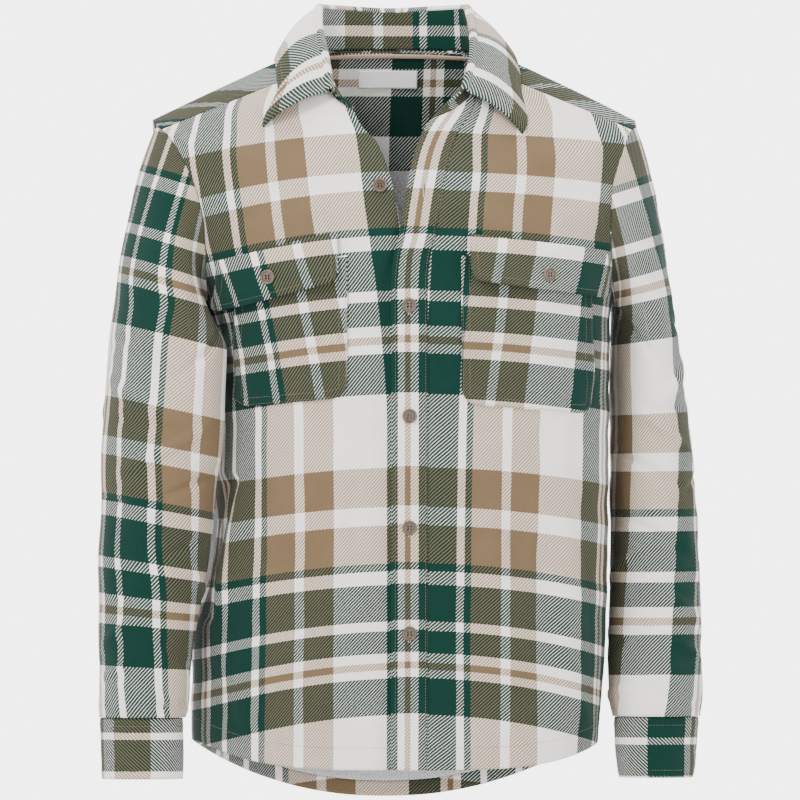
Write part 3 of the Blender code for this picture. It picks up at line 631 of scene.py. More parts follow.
# Fronts and band
fronts = {
    "bandEdge": [(-0.720, -0.0175), (-0.210, -0.0175), (-0.181, -0.0150), (-0.160, -0.0094),
                 (-0.125, -0.0030), (-0.082, 0.0071), (-0.057, 0.0175), (-0.030, 0.0347), (0.0, 0.0400)],
    "rightEdge": [(-0.720, 0.0150), (-0.205, 0.0150), (-0.172, 0.0040), (-0.146, -0.0075),
                  (-0.120, -0.0115), (-0.093, -0.0177), (-0.068, -0.0268), (-0.049, -0.0430),
                  (-0.030, -0.0500), (0.0, -0.0540)],
    "handPocket": [(-0.527, -0.1850), (-0.495, -0.1840), (-0.4635, -0.1774), (-0.427, -0.1690),
                   (-0.398, -0.1607)],
    "bandWidth": 0.0355, "bandLift": 0.0010, "bandCloth": 0.003,
    "underlap": 0.0026, "underlapStart": 0.021, "columns": 92, "bandColumns": 14, "bandPress": 0.0007,
    "sink": 0.0026, "sinkAt": -0.006, "sinkWidth": 0.0055,  # beside the band
    "pocketEnds": (-0.540, -0.388), "pocketFade": 0.014, "pocketDip": 0.0014, "pocketPull": (0.011, 0.005),
}
bandReach = curve(*zip(*fronts["bandEdge"]))
rightReach = curve(*zip(*fronts["rightEdge"]))
handPocketAt = curve(*zip(*fronts["handPocket"]))


def edgeAngle(reach, level, aside=0.0):
    def miss(angle):
        point = trunkPoint(angle, level)
        return point[..., 0] - reach(point[..., 2]) - aside
    level = np.asarray(level, float)
    return solve(miss, np.full(level.shape, -1.2), np.full(level.shape, 1.2))


def underlap(angle, level):
    point = trunkPoint(angle, level)
    start = fronts["underlapStart"]
    return fronts["underlap"] * ease((point[..., 0] - bandReach(point[..., 2]) + start) / (start - 0.001))


def handPocket(points):
    # 1 behind the edge of the hand pocket in the right side seam, 0 elsewhere
    x, z = points[..., 0], points[..., 2]
    aside = x - handPocketAt(z)
    (bottom, top), fade = fronts["pocketEnds"], fronts["pocketFade"]
    along = ease((z - bottom) / fade) * ease((top - z) / fade)
    return along * (1 - ease((aside + 0.001) / 0.002))


def frontPiece(name, side):
    levels = trunkLevels(trunk["neck"] - cloth["gap"])
    if side > 0:
        inner = edgeAngle(bandReach, levels, fronts["bandWidth"] + cloth["gap"])
    else:
        inner = edgeAngle(rightReach, levels)
    outer = np.where(levels <= trunk["shoulder"], armholeAngles(levels)[0], shoulderAngle(levels))
    outer = side * (outer - spread(outer, levels, cloth["gap"] / 2))
    share = np.linspace(0, 1, fronts["columns"] + 1)
    low, high = (inner, outer) if side > 0 else (outer, inner)
    angle = low[:, None] + (high - low)[:, None] * share
    angle, level = withHem(angle, levels)
    out = 0.0
    if side < 0:
        # the right front sinks beside the band and goes under it
        aside = trunkPoint(angle, level)[..., 0] - bandReach(level)
        sink = fronts["sink"] * np.exp(-((aside - fronts["sinkAt"]) / fronts["sinkWidth"]) ** 2)
        out = -underlap(angle, level) - sink - fronts["pocketDip"] * handPocket(trunkPoint(angle, level))
    points, _ = trunkCloth(angle, level, out)
    run = runLength(points, 0 if side > 0 else fronts["columns"])
    start = points[:, :1, 0] if side > 0 else points[:, -1:, 0]
    phase, move = phaseAt(side, points[..., 2])
    across, down = run + start - move + phase, weftAt(points)
    if side > 0:
        across = across + pattern["edgeShift"] * (1 - ease(run / pattern["edgeReach"]))
    else:
        behind, (pullAcross, pullDown) = handPocket(points), fronts["pocketPull"]
        across, down = across - pullAcross * behind, down + pullDown * behind
    weave = weaveOf(across, down)
    piece = clothPiece(name, points, weave, "flannel", cloth["wall"], [name.replace("cloth_", "")], "fleece")


frontPiece("cloth_right_front", -1)
frontPiece("cloth_left_front", 1)


def bandPiece():
    levels = trunkLevels(trunk["neck"] - cloth["gap"])
    share = np.linspace(0, 1, fronts["bandColumns"] + 1)
    angle = np.stack([edgeAngle(bandReach, levels, fronts["bandWidth"] * s) for s in share], axis=1)
    angle, level = withHem(angle, levels)
    # the two long edges are pressed down
    press = fronts["bandPress"] * (1 - ease(np.minimum(share, 1 - share) * 8))
    points, _ = trunkCloth(angle, level, fronts["bandLift"] - press)
    run = np.broadcast_to(share * fronts["bandWidth"], points.shape[:-1])
    weave = weaveOf(run + pattern["bandPhase"], weftAt(points) + pattern["bandDown"])
    piece = clothPiece("cloth_front_band", points, weave, "flannel", fronts["bandCloth"], ["front_band"])


bandPiece()
print("fronts and band made")


# Back, yoke and the cloths inside
insideOut = -(cloth["wall"] + cloth["layer"])
yokeLevel = trunk["underarm"] + (trunk["shoulder"] - trunk["underarm"]) * trunk["yokeSeam"]


def backPiece(name, levels, hem, out, finish, thickness, node, lift=0.0, inside=None, columns=150):
    edge = np.where(levels <= trunk["shoulder"], armholeAngles(levels)[1], shoulderAngle(levels))
    left = edge + spread(edge, levels, cloth["gap"] / 2)
    right = 2 * pi - edge - spread(2 * pi - edge, levels, cloth["gap"] / 2)
    angle = left[:, None] + (right - left)[:, None] * np.linspace(0, 1, columns + 1)
    if hem:
        angle, level = withHem(angle, levels, lift)
    else:
        level = np.broadcast_to(levels[:, None], angle.shape)
    points, _ = trunkCloth(angle, level, out)
    run = runLength(points, columns // 2)
    across, down = -run + pattern["backPhase"], weftAt(points)
    if node == "inner_yoke":
        across, down = -run + pattern["innerAcross"], pattern["innerDown"] - points[..., 2]
    if node == "yoke":
        # the yoke's stripes follow the slope of the shoulders, then drop level down the back
        slope = pattern["yokeSlope"] * (np.abs(points[..., 0]) - 0.09) * (1 - ease(points[..., 1] / 0.08))
        across = -run + pattern["yokePhase"]
        down = pattern["yokeDown"] + points[..., 1] - points[..., 2] - slope
    piece = clothPiece(name, points, weaveOf(across, down), finish, thickness, [node], inside)


seam = cloth["gap"] / 2
yokeLevels = trunkLevels(trunk["neck"] - cloth["gap"])
yokeLevels = np.concatenate([[yokeLevel + seam], yokeLevels[yokeLevels > yokeLevel + 0.001]])
backPiece("cloth_back", trunkLevels(yokeLevel - seam), True, 0.0, "flannel", cloth["wall"], "back")
backPiece("cloth_yoke", yokeLevels, False, 0.0, "flannel", cloth["wall"], "yoke")
backPiece("cloth_inner_yoke", np.append(yokeLevels[:-1], trunk["neck"] - 0.0013), False, insideOut,
          "flannelInside", cloth["lining"], "inner_yoke", columns=110)
backPiece("cloth_back_lining", trunkLevels(yokeLevel - seam), True, insideOut, "fleece", cloth["lining"],
          "back_lining", trunk["facing"] + cloth["gap"], columns=110)


def hemFacing():
    columns, rows = 120, 5
    left = armholeAngles(np.array(trunk["hem"]))[1] + spread(pi / 2, trunk["hem"], seam)
    share = np.linspace(0, 1, columns + 1)
    angle = np.broadcast_to(left + (2 * pi - 2 * left) * share, (rows + 1, columns + 1))
    rise = np.linspace(0.0005, trunk["facing"], rows + 1)[:, None]
    points, _ = trunkCloth(angle, hemLevel(angle) + rise, insideOut)
    weave = weaveOf(-runLength(points, columns // 2) + pattern["backPhase"], weftAt(points))
    piece = clothPiece("cloth_hem_facing", points, weave, "flannelInside", cloth["lining"], ["hem_facing"])


hemFacing()
inNeck = {"tape": 0.006, "tapeCloth": 0.0008, "reach": radians(62), "inset": 0.0013,
          "label": (-0.0310, 0.0276, 0.0080, -0.0092),  # left, right, top, bottom
          "labelCloth": 0.0006, "labelLift": 0.0012}
onInner = insideOut - cloth["lining"] - cloth["layer"]


def neckTape():
    columns, rows = 70, 3
    reach = inNeck["reach"]
    angle = np.broadcast_to(np.linspace(pi - reach, pi + reach, columns + 1), (rows + 1, columns + 1))
    drop = inNeck["tape"] * (1 - np.linspace(0, 1, rows + 1))[:, None] / 2
    points, _ = trunkCloth(angle, trunk["neck"] - inNeck["inset"] - drop, onInner)
    weave = weaveOf(runLength(points), -points[..., 2])
    piece = clothPiece("cloth_neck_tape", points, weave, "tape", inNeck["tapeCloth"], ["neck_tape"])


def neckLabel():
    columns, rows = 30, 12
    left, right, top, bottom = inNeck["label"]
    x = np.broadcast_to(np.linspace(right, left, columns + 1), (rows + 1, columns + 1))
    share = np.linspace(0, 1, rows + 1)[:, None]
    z = np.broadcast_to(bottom + (top - bottom) * share, x.shape)
    angle, level = onTrunk(x, z, back=True)
    lift = inNeck["labelLift"] * (1 - share) * (0.6 + 0.4 * np.sin(x * 90) ** 2)
    points, _ = trunkCloth(angle, level, onInner - lift)
    piece = clothPiece("cloth_neck_label", points, weaveOf(x, z), "label", inNeck["labelCloth"], ["neck_label"])


neckTape()
neckLabel()
print("back, yoke and inside made")


# Sleeves: rings down the arm, height, centre x and y, half width, half depth, slant
sleeves = {
    "right": [
        (-0.270, -0.2295, -0.056, 0.0570, 0.063, -0.006), (-0.360, -0.2350, -0.058, 0.0585, 0.062, -0.006),
        (-0.420, -0.2392, -0.058, 0.0548, 0.058, -0.005), (-0.466, -0.2425, -0.055, 0.0543, 0.055, -0.004),
        (-0.533, -0.2488, -0.058, 0.0482, 0.052, 0.000), (-0.576, -0.2520, -0.060, 0.0448, 0.049, 0.000),
        (-0.606, -0.2530, -0.063, 0.0445, 0.047, 0.000), (-0.628, -0.2550, -0.065, 0.0425, 0.043, 0.000),
    ],
    "left": [
        (-0.270, 0.2450, 0.016, 0.0325, 0.070, 0.004), (-0.360, 0.2515, 0.018, 0.0390, 0.068, 0.004),
        (-0.420, 0.2535, 0.014, 0.0415, 0.064, 0.003), (-0.466, 0.2545, 0.008, 0.0432, 0.060, 0.002),
        (-0.533, 0.2540, -0.002, 0.0450, 0.054, 0.000), (-0.576, 0.2524, -0.012, 0.0462, 0.050, 0.000),
        (-0.606, 0.2526, -0.020, 0.0455, 0.047, 0.000), (-0.628, 0.2527, -0.026, 0.0430, 0.043, 0.000),
    ],
    "rightCuff": [
        (-0.6283, -0.2553, -0.065, 0.0412, 0.0415, 0.0), (-0.655, -0.2553, -0.068, 0.0403, 0.0405, 0.0),
        (-0.688, -0.2553, -0.071, 0.0401, 0.0400, 0.0),
    ],
    "leftCuff": [
        (-0.6283, 0.2527, -0.026, 0.0418, 0.0415, 0.0), (-0.655, 0.2518, -0.029, 0.0405, 0.0400, 0.0),
        (-0.688, 0.2523, -0.032, 0.0366, 0.0385, 0.0),
    ],
    "cuffTop": -0.6283, "cuffBottom": -0.688, "splayTop": radians(20), "capLean": 0.08,
    "splayUnder": radians(75), "armholeGap": 0.0007, "shoulderHalf": 0.2, "foldScale": 1.05,
    "rightLower": 0.018, "gather": 0.0011, "cuffPress": 0.0006, "cuffDent": 0.0012,
    # folds: angle round the arm, height, slope, reach round, width, rise
    "folds": [  # wide and raised
        (50, -0.300, -0.030, 70, 0.012, 0.0040), (80, -0.350, 0.030, 70, 0.011, 0.0045),
        (300, -0.330, 0.025, 70, 0.012, 0.0045), (90, -0.420, -0.025, 80, 0.012, 0.0040),
        (270, -0.445, 0.020, 80, 0.012, 0.0035), (60, -0.520, 0.030, 70, 0.012, 0.0030),
        (100, -0.590, -0.015, 90, 0.009, 0.0030),
    ],
    "creases": [  # narrow, mostly troughs
        (120, -0.255, 0.045, 60, 0.009, -0.0030), (60, -0.325, -0.012, 60, 0.008, -0.0026),
        (110, -0.385, 0.022, 80, 0.007, -0.0034), (40, -0.402, -0.020, 55, 0.007, -0.0022),
        (95, -0.452, 0.026, 75, 0.008, -0.0030), (150, -0.478, -0.024, 60, 0.008, 0.0028),
        (70, -0.492, 0.010, 60, 0.007, -0.0020), (120, -0.545, -0.028, 80, 0.009, -0.0026),
        (50, -0.562, 0.020, 60, 0.008, 0.0022), (85, -0.606, 0.012, 95, 0.006, -0.0022),
        (20, -0.245, 0.020, 45, 0.010, -0.0016), (250, -0.290, -0.030, 70, 0.010, -0.0030),
        (290, -0.392, 0.028, 75, 0.008, -0.0032), (240, -0.415, -0.018, 60, 0.009, 0.0030),
        (280, -0.486, -0.022, 80, 0.008, -0.0028), (230, -0.530, 0.024, 70, 0.009, 0.0024),
        (300, -0.575, 0.016, 80, 0.008, -0.0024), (200, -0.610, -0.010, 80, 0.007, 0.0020),
    ],
}


def ringPoint(rings, height, turn, side):
    centreX, centreY, halfWidth, halfDepth, slant = rings(height)
    x = centreX + side * (halfWidth * np.cos(turn) + slant * np.sin(turn))
    return np.stack(np.broadcast_arrays(x, centreY - halfDepth * np.sin(turn), height), axis=-1)


def armholePoint(turn, side):
    rise = trunk["shoulder"] - trunk["underarm"]
    inset = sleeves["armholeGap"] / rise
    share = (1 + np.cos(turn)) / 2
    level = trunk["underarm"] + rise * (share * (1 - 2 * inset) + inset)
    reach = np.where(np.sin(turn) >= 0, trunk["armholeFront"], trunk["armholeBack"])
    middle = pi / 2 + (trunk["shoulderSeam"] - pi / 2) * share
    angle = middle - np.sin(turn) * (reach - sleeves["armholeGap"] / sleeves["shoulderHalf"])
    return trunkCloth(side * angle, level)[0]


def sleeveFolds(turn, height, side):
    total = np.zeros(turn.shape)
    for centre, at, slope, reach, width, rise in sleeves["folds"] + sleeves["creases"]:
        away = (np.degrees(turn) - centre + 180) % 360 - 180
        line = at - (sleeves["rightLower"] if side < 0 else 0.0) + slope * away / 60
        near = np.cos(pi / 2 * np.clip(away / reach, -1, 1)) ** 2
        total += rise * near * np.maximum(0.0, 1 - ((height - line) / width) ** 2) ** 2
    return total * sleeves["foldScale"]


def sleevePiece(side, label):
    around, capRows, armRows = 120, 52, 108
    rows = sleeves[label]
    rings, top, end = table(rows), rows[0][0], rows[-1][0]
    turn = np.linspace(-pi, pi, around + 1)[None, :]
    t = np.linspace(0, 1, capRows + 1)[:, None]
    start, finish = armholePoint(turn, side), ringPoint(rings, top, turn, side)
    splay = sleeves["splayTop"] + (sleeves["splayUnder"] - sleeves["splayTop"]) * (1 - np.cos(turn)) / 2
    length = np.linalg.norm(finish - start, axis=-1, keepdims=True)
    first = np.stack([side * np.sin(splay), 0 * splay, -np.cos(splay)], axis=-1)
    first = first * length * (0.7 + 0.3 * np.cos(turn))[..., None]
    lean = sleeves["capLean"] * side * np.clip(np.cos(turn), 0, 1)
    last = np.stack([lean, 0 * lean, 0 * lean - 1], axis=-1)
    last = last * length * np.where(np.cos(turn) < -0.2, 0.8, 1.0)[..., None]
    t = t[..., None]
    cap = (start * (2 * t ** 3 - 3 * t ** 2 + 1) + first * (t ** 3 - 2 * t ** 2 + t)
           + finish * (3 * t ** 2 - 2 * t ** 3) + last * (t ** 3 - t ** 2))
    heights = np.linspace(top, end, armRows + 1)[1:, None]
    arm = ringPoint(rings, heights, turn, side)
    points = np.concatenate([cap, arm])
    turns = np.broadcast_to(turn, points.shape[:-1])
    alongRound = np.roll(points[:, :-1], -1, axis=1) - np.roll(points[:, :-1], 1, axis=1)
    alongRound = np.concatenate([alongRound, alongRound[:, :1]], axis=1)
    normal = unit(np.cross(alongRound, np.gradient(points, axis=0)) * side)
    seamFade = ease(np.concatenate([np.linspace(0, 1, capRows + 1), np.ones(armRows)]) * 4)[:, None]
    endFade = ease((points[..., 2] - end) / 0.012)
    relief = sleeveFolds(turns, points[..., 2], side)
    wave = softWaves(np.cos(turns) * 0.05 + points[..., 1] * 0.6, points[..., 2], 11 + side)
    # the cloth gathers slightly where it goes into the cuff
    gather = sleeves["gather"] * np.sin(turns * 13 + 3 * np.sin(turns * 2))
    gather = gather * (1 - ease((points[..., 2] - end) / 0.03))
    relief = (relief + wave) * seamFade * endFade + gather * endFade
    # the grain runs down the outside of the arm, and the stripes tip inwards over the cap
    run = runLength(points, around // 2)
    level = np.argmin(np.abs(heights[:, 0] - pattern["sleeveLevel"])) + capRows + 1
    phase, zero = pattern[label + "Sleeve"]
    phase = phase + side * run[level, around * 3 // 4]
    tip = patternAt[label + "Tip"](points[..., 2]) * (np.abs(points[..., 0]) - pattern["sleeveMiddle"])
    twist = patternAt[label + "Twist"](points[..., 2])
    weave = weaveOf(phase - side * (run + twist), zero - points[..., 2] + tip)
    points = points + normal * relief[..., None]
    order = slice(None, None, -side)
    piece = clothPiece(f"cloth_{label}_sleeve", points[::-1, order], weave[::-1, order], "flannel",
                       cloth["wall"], [f"{label}_sleeve"], "fleece", tube=True)


def cuffPiece(side, label):
    around, rows = 120, 22
    rings = table(sleeves[label + "Cuff"])
    turn = np.linspace(0, 2 * pi, around + 1)[None, :]
    share = np.linspace(0, 1, rows + 1)[:, None]
    top = sleeves["cuffTop"] - cloth["gap"]
    height = sleeves["cuffBottom"] + (top - sleeves["cuffBottom"]) * share
    points = ringPoint(rings, height, turn, side)
    centre = np.stack(np.broadcast_arrays(rings(height)[0], rings(height)[1], height), axis=-1)
    normal = unit((points - centre) * [1, 1, 0])
    turns = np.broadcast_to(turn, points.shape[:-1])
    press = -sleeves["cuffPress"] * (1 - ease(np.minimum(share, 1 - share) * 9))
    dent = np.exp(-((height + 0.657) / 0.004) ** 2) * np.exp(-((np.degrees(turns) - 135) / 28) ** 2)
    dent = -sleeves["cuffDent"] * dent
    relief = press + dent + softWaves(turns * 0.04, height + 0 * turns, 23 + side, 0.0005)
    points = points + normal * relief[..., None]
    run = -side * runLength(points, around // 4)
    start, level = pattern[label + "Cuff"]
    weave = weaveOf(-points[..., 2] - level, start - run)
    order = slice(None, None, -side)
    piece = clothPiece(f"cloth_{label}_cuff", points[:, order], weave[:, order], "flannel", cloth["cuff"],
                       [f"{label}_cuff"], tube=True)


sides = ((-1, "right"), (1, "left"))
for sideSign, sideName in sides:
    sleevePiece(sideSign, sideName)
    cuffPiece(sideSign, sideName)
print("sleeves and cuffs made")


# Collar, from the centre back to its ends: share, ring angle, fold x, y, z, edge angle, level
collar = {
    "rows": [
        (0.00, 180.0, 0.0000, 0.0770, 0.0670, 180.0, 0.0040), (0.25, 152.0, 0.0400, 0.0730, 0.0690, 156.0, 0.0060),
        (0.50, 122.0, 0.0725, 0.0460, 0.0705, 128.0, 0.0090), (0.68, 96.0, 0.0755, 0.0160, 0.0530, 92.0, 0.0120),
        (0.84, 70.0, 0.0735, -0.0220, 0.0290, 66.0, 0.0080),
    ],
    "rightEnd": (0.0715, -0.0720, -0.0127), "leftEnd": (0.0602, -0.0720, -0.0127),
    "rightPoint": (-0.1378, -0.0530), "leftPoint": (0.1162, -0.0598),
    "roll": 0.0045, "bulge": 0.27, "columns": 190, "warpRight": 0.118, "warpLeft": -0.382,
}


def collarRows():
    rows = []
    for share, ring, x, y, z, edge, level in collar["rows"]:
        ring, edge = radians(ring), radians(edge)
        rows.append((share, ring, x, y, z, edge, level))
        if share > 0:
            rows.append((-share, 2 * pi - ring, -x, y, z, 2 * pi - edge, level))
    for side, label in sides:
        reach = bandReach if side > 0 else rightReach
        ring = float(edgeAngle(reach, np.array(trunk["neck"])))
        angle, level = (float(value) for value in onTrunk(*collar[label + "Point"]))
        around = 2 * pi if side < 0 else 0.0
        x, y, z = collar[label + "End"]
        rows.append((side, ring + around, side * x, y, z, angle + around, level))
    return table(rows)


collarAt = collarRows()


def collarFrame(share):
    ring, x, y, z, angle, level = collarAt(share)
    neck = trunkPoint(ring, trunk["neck"]) + [0, 0, cloth["gap"]]
    fold = np.stack([x, y, z - collar["roll"]], axis=-1)
    bulge = trunkNormal(angle, level)
    edge = trunkPoint(angle, level) + bulge * (cloth["leaf"] + cloth["layer"])
    out = unit((edge - fold) * [1, 1, 0])
    return neck, fold, edge, out, bulge


def collarStand():
    rows = 18
    share = np.linspace(1, -1, collar["columns"] + 1)
    neck, fold, _, out, _ = collarFrame(share)
    top = fold - out * (collar["roll"] - cloth["wall"] - 0.0006) - [0, 0, cloth["gap"]]
    t = np.linspace(0, 1, rows + 1)[:, None, None]
    points = neck + (top - neck) * t
    bow = 0.0006 * np.sin(pi * t[..., 0]) * np.sin(share * 9 + 0.6)
    points = points + out * bow[..., None]
    run = runLength(points, collar["columns"] // 2)
    weave = weaveOf(run + pattern["standAcross"], pattern["standDown"] - points[..., 2])
    piece = clothPiece("cloth_collar_stand", points, weave, "flannelTurned", cloth["wall"], ["collar_stand"])


def collarLeaf():
    rollRows, fallRows = 8, 30
    share = np.linspace(1, -1, collar["columns"] + 1)[None, :]
    _, fold, edge, out, bulge = collarFrame(share)
    t = np.linspace(1, 0, fallRows + 1)[:, None, None]
    start = fold + out * collar["roll"]
    reach = np.linalg.norm(edge - start, axis=-1, keepdims=True)
    middle = (start + edge) / 2 + bulge * collar["bulge"] * reach
    fall = start * (1 - t) ** 2 + middle * 2 * t * (1 - t) + edge * t ** 2
    turn = np.linspace(0, pi, rollRows + 1)[1:, None, None]
    roll = fold + (out * np.cos(turn) + np.array([0, 0, 1.0]) * np.sin(turn)) * collar["roll"]
    points = np.concatenate([fall, roll])
    down = np.concatenate([np.zeros((1, points.shape[1])), np.cumsum(
        np.linalg.norm(np.diff(points, axis=0), axis=-1), axis=0)])
    ends = 1 - np.abs(share) ** 8
    along = np.linspace(0, 1, points.shape[0])[:, None]
    lift = 0.0012 * np.sin(share * 11 + 0.8) * (1 - along) * ends
    edgePress = -0.0007 * (1 - ease(np.minimum(down, 0.05) / 0.004))
    points = points + bulge * (lift + edgePress)[..., None]
    across = collar["warpLeft"] + (collar["warpRight"] - collar["warpLeft"]) * (1 - share) / 2
    weave = weaveOf(across + 0 * down, pattern["leafEdge"] - down)
    piece = clothPiece("cloth_collar_leaf", points, weave, "flannel", cloth["leaf"], ["collar_leaf"])
    return points


collarStand()
leafPoints = collarLeaf()
print("collar made")


# Pockets and flaps: inner and outer side, top, bottom, and how far they drop outwards
patches = {
    "right_pocket": {"box": (-0.0600, -0.1650, -0.1780, -0.3160), "drop": 0.010, "corner": 0.016,
                     "under": 0.0016, "cloth": "pocket", "lift": 0.0, "puff": 0.0012, "standOff": 0.0,
                     "shift": -0.013, "flat": (0.108, 0.141)},
    "left_pocket": {"box": (0.0510, 0.1830, -0.1780, -0.3225), "drop": 0.010, "corner": 0.016,
                    "under": 0.0010, "cloth": "pocket", "lift": 0.0, "puff": 0.0016, "standOff": 0.0,
                    "shift": 0.009, "flat": (0.137, 0.147)},
    "right_pocket_flap": {"box": (-0.0690, -0.1800, -0.1540, -0.2035), "drop": 0.0280, "corner": 0.009,
                          "under": 0.0040, "cloth": "flap", "lift": 0.0015, "puff": 0.0004, "standOff": 0.0045,
                          "shift": -0.015, "flat": (0.118, 0.052)},
    "left_pocket_flap": {"box": (0.0600, 0.1960, -0.1570, -0.2030), "drop": 0.0150, "corner": 0.009,
                         "under": 0.0034, "cloth": "flap", "lift": 0.0070, "puff": 0.0004, "standOff": 0.0045,
                         "shift": 0.014, "flat": (0.145, 0.048)},
}


def patchRaised(spec, across, height):
    # the flaps stand off at their lower edges
    return spec["lift"] * (1 - height) * (1 - across) ** 2 + spec["standOff"] * (1 - height) ** 2


def patchPlace(name, across, height):
    # a patch's point on the front, its lower corners rounded
    spec = patches[name]
    inner, outer, top, bottom = spec["box"]
    width = abs(outer - inner)
    near = np.minimum(across, 1 - across) * width
    corner = spec["corner"]
    low = corner * (1 - np.sqrt(1 - np.clip(1 - near / corner, 0, 1) ** 2))
    x = inner + (outer - inner) * across
    z = bottom + low + (top - bottom - low) * height - spec["drop"] * across
    angle, level = onTrunk(x, z)
    tall = top - bottom
    rim = np.minimum(near, height * tall)
    raised = patchRaised(spec, across, height)
    under = cloth["layer"] + (spec["under"] - cloth["layer"]) * ease((1 - height) * 6)
    puff = spec["puff"] * np.sin(pi * across) * np.sin(pi * height) - 0.0005 * (1 - ease(rim / 0.003))
    dip = underlap(angle, level) if inner < 0 else 0.0
    out = under + cloth[spec["cloth"]] + raised + puff - dip
    return trunkCloth(angle, level, out)


def patchPiece(name):
    columns, rows = 64, 56 if name.endswith("pocket") else 26
    across = np.broadcast_to(np.linspace(0, 1, columns + 1), (rows + 1, columns + 1))
    height = np.broadcast_to(np.linspace(0, 1, rows + 1)[:, None], across.shape)
    points, _ = patchPlace(name, across, height)
    side = 1 if "left" in name else -1
    phase, move = phaseAt(side, points[..., 2])
    run, start = runLength(points) * side, points[:, :1, 0] + patches[name]["shift"]
    up = pattern["pocketUp"] if name.endswith("pocket") else 0.0
    weave = weaveOf(run + start - move + phase, weftAt(points) - up)
    order = slice(None, None, side)
    thick = cloth[patches[name]["cloth"]]
    piece = clothPiece("cloth_" + name, points[:, order], weave[:, order], "flannel", thick, [name])
    f"{name.split('_')[0]}_front"


for patchName in patches:
    patchPiece(patchName)
print("pockets and flaps made")


# Buttons: a rimmed disc with four holes and two parallel threads, made once and copied
buttons = {
    "radius": 0.0072, "height": 0.0030, "rim": 0.0017, "dish": 0.0008, "hole": 0.00110, "holeOut": 0.00205,
    "threadRadius": 0.0004,
    "band": (-0.2264, -0.3342, -0.4430, -0.5459), "neck": (-0.0265, -0.1098),
    "right": (-0.1335, -0.1985), "left": (0.1355, -0.1965),
}


def buttonShape():
    radius, height, rim, dish = (buttons[key] for key in ("radius", "height", "rim", "dish"))
    inner = radius - rim
    outline = [(0.0, height - dish), (inner * 0.66, height - dish), (inner * 0.74, height - dish * 1.7),
               (inner * 0.90, height - dish * 1.8), (inner * 0.98, height - dish * 0.4),
               (inner + rim * 0.30, height), (inner + rim * 0.60, height), (radius - 0.0004, height - 0.0003),
               (radius, height - 0.0009), (radius - 0.0003, height * 0.45), (radius - 0.0012, 0.0), (0.0, 0.0)]
    mesh = bmesh.new()
    verts = [mesh.verts.new((x, 0, z)) for x, z in outline]
    edges = [mesh.edges.new(pair) for pair in zip(verts, verts[1:])]
    bmesh.ops.spin(mesh, geom=verts + edges, cent=(0, 0, 0), axis=(0, 0, 1), angle=2 * pi, steps=48,
                   use_merge=True)
    bmesh.ops.remove_doubles(mesh, verts=mesh.verts, dist=0.000001)
    bmesh.ops.recalc_face_normals(mesh, faces=mesh.faces)
    drill = bmesh.new()
    for turn in range(4):
        angle = pi / 4 + turn * pi / 2
        at = Matrix.Translation((buttons["holeOut"] * cos(angle), buttons["holeOut"] * sin(angle), height / 2))
        bmesh.ops.create_cone(drill, cap_ends=True, segments=14, radius1=buttons["hole"],
                              radius2=buttons["hole"], depth=height * 2, matrix=at)
    disc = linked("buttonDisc", meshData("buttonDisc", mesh))
    tool = linked("buttonDrill", meshData("buttonDrill", drill))
    cut = disc.modifiers.new("Holes", "BOOLEAN")
    cut.object = tool
    cut.operation = "DIFFERENCE"
    cut.solver = "EXACT"
    shape = bpy.data.meshes.new_from_object(disc.evaluated_get(bpy.context.evaluated_depsgraph_get()))
    for made in (disc, tool):
        bpy.data.objects.remove(made)
    return shape


def stitch(centre, along, up, length, radius):
    # the place and size of one short stitch, lying along the seam
    along, up = Vector(along).normalized(), Vector(up).normalized()
    side = up.cross(along).normalized()
    up = along.cross(side)
    turn = Matrix((along, side, up)).transposed().to_4x4()
    size = Matrix.Diagonal((length / 2, radius, radius * 0.8, 1.0))
    return Matrix.Translation(Vector(centre)) @ turn @ size


def sewnPiece(name, places, finish, group=40):
    # stitches are made in small groups, which is much quicker than one large mesh
    whole = bmesh.new()
    for start in range(0, len(places), group):
        part = bmesh.new()
        for place in places[start:start + group]:
            bmesh.ops.create_uvsphere(part, u_segments=6, v_segments=4, radius=1.0, matrix=place)
        data = meshData("stitches", part)
        whole.from_mesh(data)
        bpy.data.meshes.remove(data)
    piece = addPiece(name, whole, [finish])
    piece.data.shade_smooth()
    return piece


discShape = buttonShape()


def buttonPiece(name, point, normal):
    place = Matrix.Translation(Vector(point)) @ Vector(normal).to_track_quat("Z", "Y").to_matrix().to_4x4()
    mesh = bmesh.new()
    mesh.from_mesh(discShape)
    bmesh.ops.transform(mesh, matrix=place, verts=mesh.verts)
    for face in mesh.faces:
        face.smooth = True
    piece = addPiece(name, mesh, ["button"])
    piece.data.set_sharp_from_angle(angle=radians(35))
    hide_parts(name.replace("resin_", ""))
    thread = []
    reach, height = buttons["holeOut"] * 1.42, buttons["height"] - buttons["dish"]
    along = place.to_3x3() @ Vector((0, 1, 0))
    for offset in (-1, 1):
        centre = place @ Vector((offset * buttons["holeOut"] * 0.7, 0, height))
        thread.append(stitch(centre, along, normal, reach * 2, buttons["threadRadius"]))
    sewnPiece(name + "_thread", thread, "threadDark")


